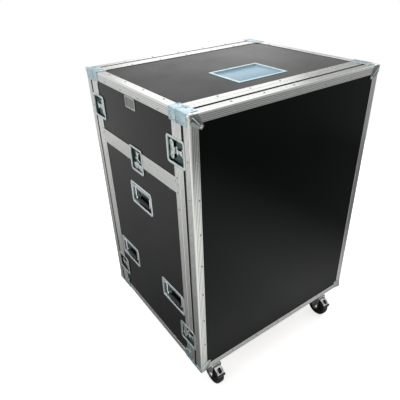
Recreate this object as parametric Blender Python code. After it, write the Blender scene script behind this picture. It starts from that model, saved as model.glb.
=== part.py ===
"""Flight case for a mixing desk: a wheeled base, a lift-off cover and two pull-off lids.

Metres, +Z up. The origin is on the floor, below the middle of the case. The front lid
faces -Y and the left side faces -X. Distances named "depth" run from the outer face of
the case inwards, and distances named "along" run from a seam, negative on the piece's
own side of it.
"""
import math

import bmesh
import bpy
from mathutils import Matrix, Vector

# Overall sizes of the case.
CASE_WIDTH = 0.915
CASE_DEPTH = 0.794
CASE_HEIGHT = 1.170
LID_DEPTH = 0.0765
COVER_HEIGHT = 0.277

# Walls: aluminium sheet over laminated board, and the fit between touching pieces.
SKIN = 0.002
BOARD = 0.0095
FIT = 0.0003
CHANNEL_BACK = 0.0017
PROUD = 0.0015

# Aluminium sections: legs of the edge angles and of the channels along the seams.
EDGE_FACE_LEG = 0.033
EDGE_SIDE_LEG = 0.036
EDGE_LONG_LEG = 0.035
EDGE_ROUND = 0.005
LID_CHANNEL_LEG = 0.0255
BODY_CHANNEL_LEG = 0.0285
BAND_CHANNEL_LEG = 0.030
CHANNEL_INNER_LEG = 0.012
LIP_ROOT = 0.012
LIP_REACH = 0.007
LIP_END_GAP = 0.012
CORNER_LEG = 0.043
CORNER_OVERLAP = 0.006
CORNER_SINK = 0.001
CUT_PAST = 0.010

# Recessed butterfly latches.
LATCH_HALF_HEIGHT = 0.052
LATCH_BODY_LENGTH = 0.070
LATCH_STRIKE_LENGTH = 0.0415
LATCH_RIM = 0.006
LATCH_RIM_THICK = 0.0012
LATCH_CORNER = 0.012
LATCH_WALL = 0.0012
LATCH_BELOW_TOP = 0.148
LATCH_ABOVE_UNDERSIDE = 0.157
POST_ALONG = 0.028
POST_RADIUS = 0.013
HINGE_DEPTH = 0.005
HINGE_RADIUS = 0.0027
EAR_HALF_GAP = 0.0105
EAR_THICK = 0.0025
EAR_SINK = 0.001
BAR_FROM_SEAM = 0.014
BAR_WIDTH = 0.003
BAR_HEIGHT = 0.004
BAR_HALF_LENGTH = 0.014
WING_END_GAP = 0.0025
WING_SIDE_GAP = 0.0085
WING_THICK = 0.0024
WING_CORNER = 0.012
WING_NECK = 0.001

# Recessed handles.
HANDLE_LENGTH = 0.178
HANDLE_HEIGHT = 0.108
HANDLE_RIM = 0.009
HANDLE_RIM_THICK = 0.0012
HANDLE_CORNER = 0.014
HANDLE_WALL = 0.0015
HANDLE_RECESS = 0.018
HANDLE_BELOW_SPLIT = 0.190
HANDLE_ABOVE_UNDERSIDE = 0.303
HANDLE_END_GAP = 0.004
GRIP_BACK_GAP = 0.001
BAIL_RADIUS = 0.004
BAIL_BEND = 0.010
BAIL_SIDE_GAP = 0.002
BAIL_PIN_GAP = 0.0042
PIVOT_FROM_TOP = 0.0152
GRIP_RADIUS = 0.0075
GRIP_FROM_BOTTOM = 0.0172
GRIP_END_GAP = 0.015
PIN_CLEARANCE = 0.0005
EAR_HALF_HEIGHT = 0.008
EAR_LENGTH = 0.0122

# Castors and the boards that carry them.
WHEEL_RADIUS = 0.055
WHEEL_WIDTH = 0.038
TYRE_THICK = 0.012
TYRE_ROUND = 0.005
TYRE_STEP = 0.001
WEB_SINK = 0.006
WEB_SLOPE = 0.004
HUB_WALL = 0.0075
AXLE_RADIUS = 0.006
AXLE_CLEARANCE = 0.0005
CASTOR_TRAIL = 0.036
CASTOR_SIDE_INSET = 0.100
CASTOR_END_INSET = 0.077
CASTOR_PLATE_LONG = 0.100
CASTOR_PLATE_WIDE = 0.085
CASTOR_PLATE_THICK = 0.003
RACE_HEIGHT = 0.0161
RACE_RADIUS = 0.034
RACE_NECK = 0.026
WHEEL_TOP_GAP = 0.012
FORK_HEAD_THICK = 0.008
FORK_CROWN_THICK = 0.006
FORK_HEAD_RADIUS = 0.030
PLATE_CORNER = 0.008
FORK_LEG_THICK = 0.003
FORK_SIDE_GAP = 0.003
FORK_BACK = 0.026
FORK_BOSS = 0.013
RUNNER_THICK = 0.012
RUNNER_WIDTH = 0.098
RUNNER_END_INSET = 0.020

# Label dish in the top of the cover.
LABEL_LENGTH = 0.247
LABEL_WIDTH = 0.192
LABEL_RIM = 0.011
LABEL_FROM_FRONT = 0.268
LABEL_RECESS = 0.004
LABEL_SHEET = 0.0012
LABEL_CORNER = 0.006

# Inside: the tray that the desk stands on, and a 19 inch rack bay below it.
TRAY_BELOW_SPLIT = 0.108
TRAY_BOARD = 0.012
TRAY_UPSTAND = 0.060
TRAY_END_INSET = 0.030
RACK_HALF_WIDTH = 0.2555
RACK_FLANGE = 0.030
RACK_SHEET = 0.002
RACK_END_INSET = 0.060

# Smoothness of round work.
ARC_STEPS = 3
ROD_SIDES = 8
TURN_SEGMENTS = 24

# Places worked out from the sizes above.
HALF_WIDTH = CASE_WIDTH / 2
HALF_DEPTH = CASE_DEPTH / 2
FORK_HEAD_TOP = 2 * WHEEL_RADIUS + WHEEL_TOP_GAP + FORK_CROWN_THICK + FORK_HEAD_THICK
RACE_TOP = FORK_HEAD_TOP + FIT + RACE_HEIGHT
UNDERSIDE = RACE_TOP + CASTOR_PLATE_THICK + FIT + RUNNER_THICK + FIT
TOP = UNDERSIDE + CASE_HEIGHT
SPLIT = TOP - COVER_HEIGHT
BOARD_OUT = SKIN + FIT
BOARD_IN = BOARD_OUT + BOARD
CHANNEL_IN = BOARD_IN + FIT
CHANNEL_END = CHANNEL_IN + CHANNEL_BACK
LIP_OUT = CHANNEL_END + FIT
LIP_IN = LIP_OUT + SKIN
LATCH_TUB = BOARD_IN
LATCH_POCKET = (LATCH_TUB + CHANNEL_IN) / 2
LATCH_INNER = LATCH_RIM + FIT + LATCH_WALL
POST_TOP = HINGE_DEPTH + HINGE_RADIUS + FIT
WING_REACH = LATCH_BODY_LENGTH - LATCH_INNER - WING_END_GAP - POST_ALONG
WING_HALF_HEIGHT = LATCH_HALF_HEIGHT - LATCH_INNER - WING_SIDE_GAP
HANDLE_INNER = HANDLE_RIM + FIT + HANDLE_WALL
HANDLE_SPREAD = (HALF_DEPTH - LID_DEPTH - BODY_CHANNEL_LEG - HANDLE_END_GAP
                 - HANDLE_LENGTH / 2)
HANDLE_SIDE = HANDLE_LENGTH / 2 - HANDLE_INNER
BAIL_DEPTH = HANDLE_RECESS - GRIP_RADIUS - GRIP_BACK_GAP
EAR_BORE = BAIL_RADIUS + PIN_CLEARANCE
BAIL_HALF_LENGTH = HANDLE_SIDE - EAR_LENGTH - BAIL_SIDE_GAP - BAIL_RADIUS
BAIL_PIN_END = HANDLE_SIDE - BAIL_PIN_GAP
BAIL_PIVOT_UP = HANDLE_HEIGHT / 2 - HANDLE_INNER - PIVOT_FROM_TOP
BAIL_DROP = BAIL_PIVOT_UP + HANDLE_HEIGHT / 2 - HANDLE_INNER - GRIP_FROM_BOTTOM
GRIP_HALF_LENGTH = BAIL_HALF_LENGTH - GRIP_END_GAP
WHEEL_BORE = AXLE_RADIUS + AXLE_CLEARANCE

COLOURS = {
    "aluminium": ((0.62, 0.63, 0.61), 0.35, 1.0),
    "laminate": ((0.035, 0.036, 0.035), 0.45, 0.0),
    "zinc": ((0.52, 0.60, 0.62), 0.30, 1.0),
    "steel": ((0.55, 0.56, 0.56), 0.25, 1.0),
    "rubber": ((0.02, 0.02, 0.02), 0.70, 0.0),
    "plywood": ((0.50, 0.36, 0.22), 0.60, 0.0),
    "black_steel": ((0.03, 0.03, 0.03), 0.45, 0.6),
}


def material(name):
    """The finish of that name, made the first time that it is asked for."""
    found = bpy.data.materials.get(name)
    if found:
        return found
    colour, roughness, metallic = COLOURS[name]
    found = bpy.data.materials.new(name)
    found.use_nodes = True
    shader = found.node_tree.nodes["Principled BSDF"]
    shader.inputs["Base Color"].default_value = (*colour, 1.0)
    shader.inputs["Roughness"].default_value = roughness
    shader.inputs["Metallic"].default_value = metallic
    return found


def finish(shape, name="shape"):
    """Turn a bmesh into mesh data with its faces pointing out."""
    bmesh.ops.recalc_face_normals(shape, faces=shape.faces)
    data = bpy.data.meshes.new(name)
    shape.to_mesh(data)
    shape.free()
    return data


def combine(first, second, operation):
    """Boolean of two meshes that lie in the same space, as new mesh data."""
    target = bpy.data.objects.new("target", first)
    tool = bpy.data.objects.new("tool", second)
    for helper in (target, tool):
        bpy.context.scene.collection.objects.link(helper)
    boolean = target.modifiers.new("combine", "BOOLEAN")
    boolean.solver = "EXACT"
    boolean.operation = operation
    boolean.object = tool
    graph = bpy.context.evaluated_depsgraph_get()
    result = bpy.data.meshes.new_from_object(target.evaluated_get(graph))
    for helper in (target, tool):
        bpy.data.objects.remove(helper)
    return result


def join(*shapes):
    """Union of several meshes."""
    result = shapes[0]
    for shape in shapes[1:]:
        result = combine(result, shape, "UNION")
    return result


def cut(body, tool):
    """The body with the tool's space taken out of it."""
    return combine(body, tool, "DIFFERENCE")


def node(name, data, finish_name, place=Matrix(), smooth=False):
    """One named piece of the case."""
    piece = bpy.data.objects.new(name, data)
    piece.matrix_world = place
    bpy.context.scene.collection.objects.link(piece)
    if not data.materials:
        data.materials.append(material(finish_name))
    if smooth:
        data.shade_smooth()
        data.set_sharp_from_angle(angle=math.radians(35))
    return piece


def add_box(shape, low, high, place=Matrix()):
    """Add a box between two corners."""
    low, high = Vector(low), Vector(high)
    size = Matrix.Diagonal((*(high - low), 1.0))
    bmesh.ops.create_cube(
        shape, size=1.0, matrix=place @ Matrix.Translation((low + high) / 2) @ size)


def boxes(*corners):
    """One mesh of separate boxes, each given by its low and high corner."""
    shape = bmesh.new()
    for low, high in corners:
        add_box(shape, low, high)
    return finish(shape)


def add_prism(shape, outline, start, end, place=Matrix()):
    """Add an outline in the local Y-Z plane, carried along local X."""
    near = [shape.verts.new(place @ Vector((start, y, z))) for y, z in outline]
    far = [shape.verts.new(place @ Vector((end, y, z))) for y, z in outline]
    count = len(outline)
    shape.faces.new(near[::-1])
    shape.faces.new(far)
    for i in range(count):
        after = (i + 1) % count
        shape.faces.new((near[i], near[after], far[after], far[i]))


def prism(outline, start, end, place=Matrix()):
    """Mesh of one prism."""
    shape = bmesh.new()
    add_prism(shape, outline, start, end, place)
    return finish(shape)


def rounded_outline(low, high, radii, steps=ARC_STEPS):
    """Rectangle outline from its low-low corner, anticlockwise, with a radius per corner."""
    corners = ((low[0], low[1], 180), (high[0], low[1], 270),
               (high[0], high[1], 0), (low[0], high[1], 90))
    outline = []
    for (a, b, start), radius in zip(corners, radii):
        if not radius:
            outline.append((a, b))
            continue
        centre_a = a + (radius if a == low[0] else -radius)
        centre_b = b + (radius if b == low[1] else -radius)
        for i in range(steps + 1):
            angle = math.radians(start + 90 * i / steps)
            outline.append((centre_a + radius * math.cos(angle),
                            centre_b + radius * math.sin(angle)))
    return outline


def turned(profile, place=Matrix(), segments=TURN_SEGMENTS):
    """Solid turned about local Z from a closed (radius, height) profile."""
    shape = bmesh.new()
    rings = []
    for radius, height in profile:
        if radius == 0:
            rings.append([shape.verts.new(place @ Vector((0, 0, height)))] * segments)
            continue
        ring = []
        for i in range(segments):
            angle = 2 * math.pi * i / segments
            point = Vector((radius * math.cos(angle), radius * math.sin(angle), height))
            ring.append(shape.verts.new(place @ point))
        rings.append(ring)
    for upper, lower in zip(rings, rings[1:] + rings[:1]):
        for i in range(segments):
            after = (i + 1) % segments
            corners = []
            for vert in (upper[i], upper[after], lower[after], lower[i]):
                if vert not in corners:
                    corners.append(vert)
            if len(corners) > 2:
                shape.faces.new(corners)
    return finish(shape)


def add_sweep(shape, section, path, closed):
    """Add a section of (depth, y) points, mitred round the corners that path(depth) gives."""
    corners = [[shape.verts.new((path(depth)[i][0], y, path(depth)[i][1]))
                for depth, y in section] for i in range(len(path(0)))]
    count = len(section)
    pairs = list(zip(corners, corners[1:] + corners[:1]))
    if not closed:
        pairs = pairs[:-1]
        shape.faces.new(corners[0])
        shape.faces.new(corners[-1][::-1])
    for here, there in pairs:
        for i in range(count):
            after = (i + 1) % count
            shape.faces.new((here[i], here[after], there[after], there[i]))


def sweep(section, path, closed):
    """Mesh of one mitred sweep."""
    shape = bmesh.new()
    add_sweep(shape, section, path, closed)
    return finish(shape)


def whole_path(depth):
    """Corners of the case's outline seen from the front, that far inside it."""
    x = HALF_WIDTH - depth
    return [(-x, UNDERSIDE + depth), (-x, TOP - depth), (x, TOP - depth), (x, UNDERSIDE + depth)]


def base_path(depth):
    """The part of that outline below the split."""
    x = HALF_WIDTH - depth
    end = SPLIT - FIT
    return [(-x, end), (-x, UNDERSIDE + depth), (x, UNDERSIDE + depth), (x, end)]


def cover_path(depth):
    """The part of that outline above the split."""
    x = HALF_WIDTH - depth
    end = SPLIT + FIT
    return [(-x, end), (-x, TOP - depth), (x, TOP - depth), (x, end)]


def lipped_channel(leg):
    """Channel that carries the locating lip, as (depth, along) points."""
    return [(0, -leg), (0, 0), (LIP_OUT, 0), (LIP_OUT, LIP_REACH), (LIP_IN, LIP_REACH),
            (LIP_IN, -LIP_ROOT), (LIP_OUT, -LIP_ROOT), (LIP_OUT, -SKIN), (SKIN, -SKIN),
            (SKIN, -leg)]


def plain_channel(leg):
    """Channel that the locating lip slides into, as (depth, along) points."""
    return [(0, -leg), (0, 0), (CHANNEL_END, 0), (CHANNEL_END, -CHANNEL_INNER_LEG),
            (CHANNEL_IN, -CHANNEL_INNER_LEG), (CHANNEL_IN, -SKIN), (SKIN, -SKIN),
            (SKIN, -leg)]


def round_corner_angle(first_leg, second_leg):
    """Edge angle with a rounded outer corner, as (first, second) distances from it."""
    points = [(first_leg, 0)]
    for i in range(ARC_STEPS + 1):
        angle = math.radians(270 - 90 * i / ARC_STEPS)
        points.append((EDGE_ROUND + EDGE_ROUND * math.cos(angle),
                       EDGE_ROUND + EDGE_ROUND * math.sin(angle)))
    points += [(0, second_leg), (SKIN, second_leg), (SKIN, SKIN), (first_leg, SKIN)]
    return points


def long_angle(side, level, up):
    """Edge angle that runs front to rear along one long edge of the case."""
    shape = bmesh.new()
    inset = LID_DEPTH + LIP_END_GAP
    outline = [(side * (HALF_WIDTH - a), level + up * b)
               for a, b in round_corner_angle(EDGE_LONG_LEG, EDGE_LONG_LEG)]
    add_prism_y(shape, outline, -HALF_DEPTH + inset, HALF_DEPTH - inset)
    return finish(shape)


def add_prism_y(shape, outline, start, end):
    """Add an outline in the X-Z plane, carried along Y."""
    near = [shape.verts.new((x, start, z)) for x, z in outline]
    far = [shape.verts.new((x, end, z)) for x, z in outline]
    count = len(outline)
    shape.faces.new(near)
    shape.faces.new(far[::-1])
    for i in range(count):
        after = (i + 1) % count
        shape.faces.new((near[i], far[i], far[after], near[after]))


def band_channel(side, channel, up):
    """Channel along the split, front to rear, on one side of the case."""
    shape = bmesh.new()
    inset = LID_DEPTH + LIP_END_GAP
    outline = [(side * (HALF_WIDTH - depth), SPLIT - up * FIT + up * along)
               for depth, along in channel]
    add_prism_y(shape, outline, -HALF_DEPTH + inset, HALF_DEPTH - inset)
    return finish(shape)


def corner_plates(level, up):
    """Four flat plates that wrap the long edges of the body beside the lids."""
    shape = bmesh.new()
    outline = [(CORNER_LEG, -PROUD), (-PROUD, -PROUD), (-PROUD, CORNER_LEG),
               (CORNER_SINK, CORNER_LEG), (CORNER_SINK, CORNER_SINK),
               (CORNER_LEG, CORNER_SINK)]
    start = HALF_DEPTH - LID_DEPTH - FIT
    for side in (-1, 1):
        for end in (-1, 1):
            placed = [(side * (HALF_WIDTH - a), level + up * b) for a, b in outline]
            add_prism_y(shape, placed, end * start, end * (start - CORNER_LEG))
    return finish(shape)


def lid_corner_caps(end):
    """Four corner caps that tie a lid's edge angles to its seam channel."""
    shape = bmesh.new()
    hollow = bmesh.new()
    face = end * (HALF_DEPTH + PROUD)
    back = end * (HALF_DEPTH - LID_DEPTH + LID_CHANNEL_LEG - CORNER_OVERLAP)
    for side in (-1, 1):
        for level, up in ((UNDERSIDE, 1), (TOP, -1)):
            x = sorted((side * (HALF_WIDTH + PROUD), side * (HALF_WIDTH - CORNER_LEG)))
            y = sorted((face, back))
            z = sorted((level - up * PROUD * (level == TOP), level + up * CORNER_LEG))
            add_box(shape, (x[0], y[0], z[0]), (x[1], y[1], z[1]))
            x = sorted((side * (HALF_WIDTH - CORNER_SINK), side * (HALF_WIDTH - CASE_WIDTH / 4)))
            y = sorted((end * (HALF_DEPTH - CORNER_SINK), end * (HALF_DEPTH - LID_DEPTH)))
            z = sorted((level + up * CORNER_SINK, level + up * CASE_HEIGHT / 4))
            add_box(hollow, (x[0], y[0], z[0]), (x[1], y[1], z[1]))
    return cut(finish(shape), finish(hollow))


def latch_places():
    """Name, owner of the butterfly half, owner of the strike, and place of every latch.

    In a latch's own space the seam runs along Z at the origin, +X leads into the wall,
    and the butterfly half lies at +Y.
    """
    places = []
    turn = {"left": Matrix(), "right": Matrix.Rotation(math.pi, 4, "Z")}
    flip = Matrix.Rotation(math.pi, 4, "X")
    for side, sign in (("left", -1), ("right", 1)):
        for end, way in (("front", -1), ("rear", 1)):
            for level, height in (("high", TOP - LATCH_BELOW_TOP),
                                  ("low", UNDERSIDE + LATCH_ABOVE_UNDERSIDE)):
                spot = (sign * HALF_WIDTH, way * (HALF_DEPTH - LID_DEPTH), height)
                spin = turn[side] @ (Matrix() if sign == way else flip)
                body = "cover" if level == "high" else "base"
                places.append((f"{side}_{end}_{level}", body, f"{end}_lid",
                               Matrix.Translation(spot) @ spin))
        spot = (sign * HALF_WIDTH, 0, SPLIT)
        spin = turn[side] @ Matrix.Rotation(-math.pi / 2, 4, "X")
        places.append((f"{side}_centre", "base", "cover", Matrix.Translation(spot) @ spin))
    return places


def handle_places():
    """Name and place of every handle; in its own space +X leads into the wall."""
    places = []
    for side, sign in (("left", -1), ("right", 1)):
        turn = Matrix() if sign < 0 else Matrix.Rotation(math.pi, 4, "Z")
        low = UNDERSIDE + HANDLE_ABOVE_UNDERSIDE
        for spot, y, height in (("centre", 0, SPLIT - HANDLE_BELOW_SPLIT),
                                ("front", -HANDLE_SPREAD, low), ("rear", HANDLE_SPREAD, low)):
            where = Matrix.Translation((sign * HALF_WIDTH, y, height))
            places.append((f"{side}_{spot}", where @ turn))
    return places


def latch_pockets():
    """One mesh of the pockets that the latch dishes sit in."""
    shape = bmesh.new()
    half = LATCH_HALF_HEIGHT - LATCH_RIM
    for _, _, _, place in latch_places():
        add_box(shape, (-CUT_PAST, LATCH_RIM - LATCH_STRIKE_LENGTH, -half),
                (LATCH_POCKET, LATCH_BODY_LENGTH - LATCH_RIM, half), place)
    return finish(shape)


def handle_pockets():
    """One mesh of the openings that the handle dishes sit in."""
    shape = bmesh.new()
    half_length = HANDLE_LENGTH / 2 - HANDLE_RIM
    half_height = HANDLE_HEIGHT / 2 - HANDLE_RIM
    for _, place in handle_places():
        add_box(shape, (-CUT_PAST, -half_length, -half_height),
                (BOARD_IN + CUT_PAST, half_length, half_height), place)
    return finish(shape)


def latch_tub(start, end, rim_floor):
    """Pressed dish of one latch half, from the seam at start to its closed end."""
    half = LATCH_HALF_HEIGHT
    low, high = sorted((start, end))
    far = 1 if end > start else -1
    rounds = (0, LATCH_CORNER, LATCH_CORNER, 0) if far > 0 else (LATCH_CORNER, 0, 0, LATCH_CORNER)
    inset = LATCH_RIM + FIT
    step = FIT / 3

    def shrink(by):
        size = half - by
        if far > 0:
            return (low + step, -size), (high - by, size)
        return (low + by, -size), (high - step, size)

    rim = prism(rounded_outline((low, -half), (high, half), rounds),
                rim_floor - LATCH_RIM_THICK, rim_floor)
    tub_low, tub_high = shrink(inset)
    tub = boxes(((rim_floor - LATCH_RIM_THICK / 2, *tub_low), (LATCH_TUB, *tub_high)))
    well_low, well_high = shrink(inset + LATCH_WALL)
    if far > 0:
        well_low = (low - CUT_PAST, well_low[1])
    else:
        well_high = (high + CUT_PAST, well_high[1])
    well = boxes(((-CUT_PAST, *well_low), (LATCH_TUB - LATCH_WALL, *well_high)))
    return cut(join(rim, tub), well)


def latch_dish():
    """Dish half with the post that the butterfly and its hook turn on."""
    tub = latch_tub(FIT, LATCH_BODY_LENGTH, -FIT)
    on_floor = LATCH_TUB - LATCH_WALL / 2
    post = turned([(0, 0), (POST_RADIUS, 0), (POST_RADIUS, on_floor - POST_TOP),
                   (0, on_floor - POST_TOP)],
                  Matrix.Translation((on_floor, POST_ALONG, 0))
                  @ Matrix.Rotation(-math.pi / 2, 4, "Y"), 16)
    ears = bmesh.new()
    for side in (-1, 1):
        z = sorted((side * EAR_HALF_GAP, side * (EAR_HALF_GAP - EAR_THICK)))
        add_box(ears, (HINGE_DEPTH - HINGE_RADIUS, POST_ALONG - HINGE_RADIUS, z[0]),
                (POST_TOP + EAR_SINK, POST_ALONG + HINGE_RADIUS, z[1]))
    return join(tub, post, finish(ears))


def latch_strike():
    """Dish half on the far side of the seam, with the bar that the hook pulls on."""
    tub = latch_tub(-2 * FIT, -LATCH_STRIKE_LENGTH, CORNER_SINK / 2)
    on_floor = LATCH_TUB - LATCH_WALL / 2
    bar = boxes(((on_floor - BAR_HEIGHT, -BAR_FROM_SEAM - BAR_WIDTH, -BAR_HALF_LENGTH),
                 (on_floor, -BAR_FROM_SEAM, BAR_HALF_LENGTH)))
    return join(tub, bar)


def butterfly():
    """Wing plate with its hinge barrel, about the hinge axis."""
    root = EAR_HALF_GAP - EAR_THICK - FIT
    neck = HINGE_RADIUS + FIT + WING_NECK
    corner = min(WING_CORNER, (WING_REACH - neck) / 2)
    shoulder = WING_HALF_HEIGHT - corner
    half = [(0, root), (neck, root), (neck + corner / 3, shoulder),
            (neck + corner, WING_HALF_HEIGHT),
            (WING_REACH - corner / 2, WING_HALF_HEIGHT), (WING_REACH, shoulder)]
    wing = half + [(y, -z) for y, z in reversed(half)]
    plate = prism(wing, -WING_THICK / 2, WING_THICK / 2)
    barrel = turned([(0, -root), (HINGE_RADIUS, -root), (HINGE_RADIUS, root), (0, root)],
                    segments=12)
    return join(plate, barrel)


def handle_dish():
    """Pressed dish of a handle, with two bored ears for the bail's pins."""
    rim_floor = BOARD_OUT - FIT
    size = (HANDLE_LENGTH / 2, HANDLE_HEIGHT / 2)

    def inset(by):
        return (-size[0] + by, -size[1] + by), (size[0] - by, size[1] - by)

    rim = prism(rounded_outline(*inset(0), (HANDLE_CORNER,) * 4),
                rim_floor - HANDLE_RIM_THICK, rim_floor)
    low, high = inset(HANDLE_RIM + FIT)
    tub = boxes(((rim_floor - HANDLE_RIM_THICK / 2, *low), (HANDLE_RECESS + HANDLE_WALL, *high)))
    low, high = inset(HANDLE_RIM + FIT + HANDLE_WALL)
    well = boxes(((-CUT_PAST, *low), (HANDLE_RECESS, *high)))
    dish = cut(join(rim, tub), well)
    ears = bmesh.new()
    in_wall = HANDLE_WALL / 2
    for side in (-1, 1):
        y = sorted((side * (HANDLE_SIDE - EAR_LENGTH), side * (HANDLE_SIDE + in_wall)))
        add_box(ears, (BAIL_DEPTH - EAR_HALF_HEIGHT, y[0], BAIL_PIVOT_UP - EAR_HALF_HEIGHT),
                (HANDLE_RECESS + in_wall, y[1], BAIL_PIVOT_UP + EAR_HALF_HEIGHT))
    end = BAIL_PIN_END + BAIL_PIN_GAP / 2
    bore = turned([(0, -end), (EAR_BORE, -end), (EAR_BORE, end), (0, end)],
                  Matrix.Translation((BAIL_DEPTH, 0, BAIL_PIVOT_UP))
                  @ Matrix.Rotation(math.pi / 2, 4, "X"), 12)
    return cut(join(dish, finish(ears)), bore)


def rod(stations):
    """Bent rod through (y, z, radius) stations in the local Y-Z plane, with flat ends."""
    shape = bmesh.new()
    points = [Vector((0, y, z)) for y, z, _ in stations]
    normal = Vector((1, 0, 0))
    rings = []
    for i, point in enumerate(points):
        before = next((points[j] for j in range(i - 1, -1, -1)
                       if (points[j] - point).length > 1e-6), None)
        after = next((points[j] for j in range(i + 1, len(points))
                      if (points[j] - point).length > 1e-6), None)
        arriving = (point - before).normalized() if before else (after - point).normalized()
        leaving = (after - point).normalized() if after else arriving
        tangent = (arriving + leaving).normalized()
        across = tangent.cross(normal).normalized() / max(tangent.dot(arriving), 0.3)
        ring = []
        for k in range(ROD_SIDES):
            angle = 2 * math.pi * (k + 0.5) / ROD_SIDES
            offset = normal * math.cos(angle) + across * math.sin(angle)
            ring.append(shape.verts.new(point + offset * stations[i][2]))
        rings.append(ring)
    shape.faces.new(rings[0][::-1])
    shape.faces.new(rings[-1])
    for here, there in zip(rings, rings[1:]):
        for k in range(ROD_SIDES):
            after = (k + 1) % ROD_SIDES
            shape.faces.new((here[k], here[after], there[after], there[k]))
    return finish(shape)


def bail():
    """Swinging handle about its pivot axis: pins, two legs and a rubber-covered grip."""
    half = [(BAIL_PIN_END, 0, BAIL_RADIUS)]
    for i in range(ARC_STEPS + 1):
        angle = math.radians(90 + 90 * i / ARC_STEPS)
        radius = BAIL_BEND / 2
        half.append((BAIL_HALF_LENGTH + radius + radius * math.cos(angle),
                     -radius + radius * math.sin(angle), BAIL_RADIUS))
    for i in range(ARC_STEPS + 1):
        angle = math.radians(-90 * i / ARC_STEPS)
        half.append((BAIL_HALF_LENGTH - BAIL_BEND + BAIL_BEND * math.cos(angle),
                     -BAIL_DROP + BAIL_BEND + BAIL_BEND * math.sin(angle), BAIL_RADIUS))
    half.append((GRIP_HALF_LENGTH, -BAIL_DROP, BAIL_RADIUS))
    half.append((GRIP_HALF_LENGTH, -BAIL_DROP, GRIP_RADIUS))
    return rod(half + [(-y, z, radius) for y, z, radius in reversed(half)])


def castor_plate():
    """Top plate with its ball race, in the castor's own space with the floor at 0."""
    upright = Matrix.Rotation(-math.pi / 2, 4, "Y")
    half = (CASTOR_PLATE_WIDE / 2, CASTOR_PLATE_LONG / 2)
    outline = rounded_outline((-half[1], -half[0]), (half[1], half[0]), (PLATE_CORNER,) * 4, 2)
    plate = prism(outline, RACE_TOP, RACE_TOP + CASTOR_PLATE_THICK, upright)
    inside_plate = RACE_TOP + CASTOR_PLATE_THICK / 2
    race = turned([(0, FORK_HEAD_TOP + FIT), (RACE_NECK, FORK_HEAD_TOP + FIT),
                   (RACE_RADIUS, RACE_TOP - RACE_HEIGHT / 4), (RACE_RADIUS, inside_plate),
                   (0, inside_plate)])
    return join(plate, race)


def castor_fork():
    """Fork about its swivel axis, with the axle that the wheel rolls on."""
    crown_top = FORK_HEAD_TOP - FORK_HEAD_THICK
    crown_low = crown_top - FORK_CROWN_THICK
    in_crown = crown_top - FORK_CROWN_THICK / 6
    inner = WHEEL_WIDTH / 2 + FORK_SIDE_GAP
    outer = inner + FORK_LEG_THICK
    head = turned([(0, in_crown), (FORK_HEAD_RADIUS, in_crown),
                   (FORK_HEAD_RADIUS, FORK_HEAD_TOP - FORK_HEAD_THICK / 4),
                   (FORK_HEAD_RADIUS - FORK_HEAD_THICK / 2, FORK_HEAD_TOP), (0, FORK_HEAD_TOP)])
    crown = boxes(((-outer, -CASTOR_TRAIL, crown_low), (outer, FORK_BACK, crown_top)))
    leg = [(FORK_BACK, in_crown), (-CASTOR_TRAIL, in_crown)]
    leg += [(-CASTOR_TRAIL + FORK_BOSS * math.cos(math.radians(angle)),
             WHEEL_RADIUS + FORK_BOSS * math.sin(math.radians(angle)))
            for angle in (170, 210, 250, 290, 330)]
    leg += [(FORK_BACK, crown_low - FORK_BOSS)]
    legs = bmesh.new()
    for side in (-1, 1):
        add_prism(legs, leg, side * inner, side * outer)
    end = outer + FORK_LEG_THICK
    axle = turned([(0, -end), (AXLE_RADIUS, -end), (AXLE_RADIUS, end), (0, end)],
                  Matrix.Translation((0, -CASTOR_TRAIL, WHEEL_RADIUS))
                  @ Matrix.Rotation(math.pi / 2, 4, "Y"), 12)
    return join(crown, head, finish(legs), axle)


def castor_wheel():
    """Tyre and hub about the axle."""
    half = WHEEL_WIDTH / 2
    tyre = half - TYRE_STEP
    rim = WHEEL_RADIUS - TYRE_THICK
    hub = WHEEL_BORE + HUB_WALL
    sunk = half - WEB_SINK
    side = [(WHEEL_BORE, half), (hub, half), (hub + WEB_SLOPE / 2, sunk), (rim - WEB_SLOPE, sunk),
            (rim, tyre), (WHEEL_RADIUS - TYRE_ROUND, tyre), (WHEEL_RADIUS, tyre - TYRE_ROUND)]
    profile = [(radius, -along) for radius, along in side] + side[::-1]
    return turned(profile, Matrix.Rotation(math.pi / 2, 4, "Y"))


def label_dish():
    """Shallow dish for a case label, let into the top of the cover."""
    rim_floor = TOP - BOARD_OUT + FIT
    centre = -HALF_DEPTH + LABEL_FROM_FRONT
    upright = Matrix.Translation((0, centre, 0)) @ Matrix.Rotation(-math.pi / 2, 4, "Y")
    half = (LABEL_WIDTH / 2, LABEL_LENGTH / 2)
    rim = prism(rounded_outline((-half[0], -half[1]), half, (LABEL_CORNER,) * 4),
                rim_floor, rim_floor + LABEL_SHEET, upright)
    by = LABEL_RIM + FIT
    floor = rim_floor - LABEL_RECESS
    tub = boxes(((-half[1] + by, centre - half[0] + by, floor - LABEL_SHEET),
                 (half[1] - by, centre + half[0] - by, rim_floor + LABEL_SHEET / 2)))
    by += LABEL_SHEET
    well = boxes(((-half[1] + by, centre - half[0] + by, floor),
                  (half[1] - by, centre + half[0] - by, rim_floor + CUT_PAST)))
    return cut(join(rim, tub), well)


def label_pocket():
    """Opening in the cover's top board that the label dish sits in."""
    centre = -HALF_DEPTH + LABEL_FROM_FRONT
    half = (LABEL_LENGTH / 2 - LABEL_RIM, LABEL_WIDTH / 2 - LABEL_RIM)
    return boxes(((-half[0], centre - half[1], TOP - BOARD_IN - CUT_PAST),
                  (half[0], centre + half[1], TOP + CUT_PAST)))


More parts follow.
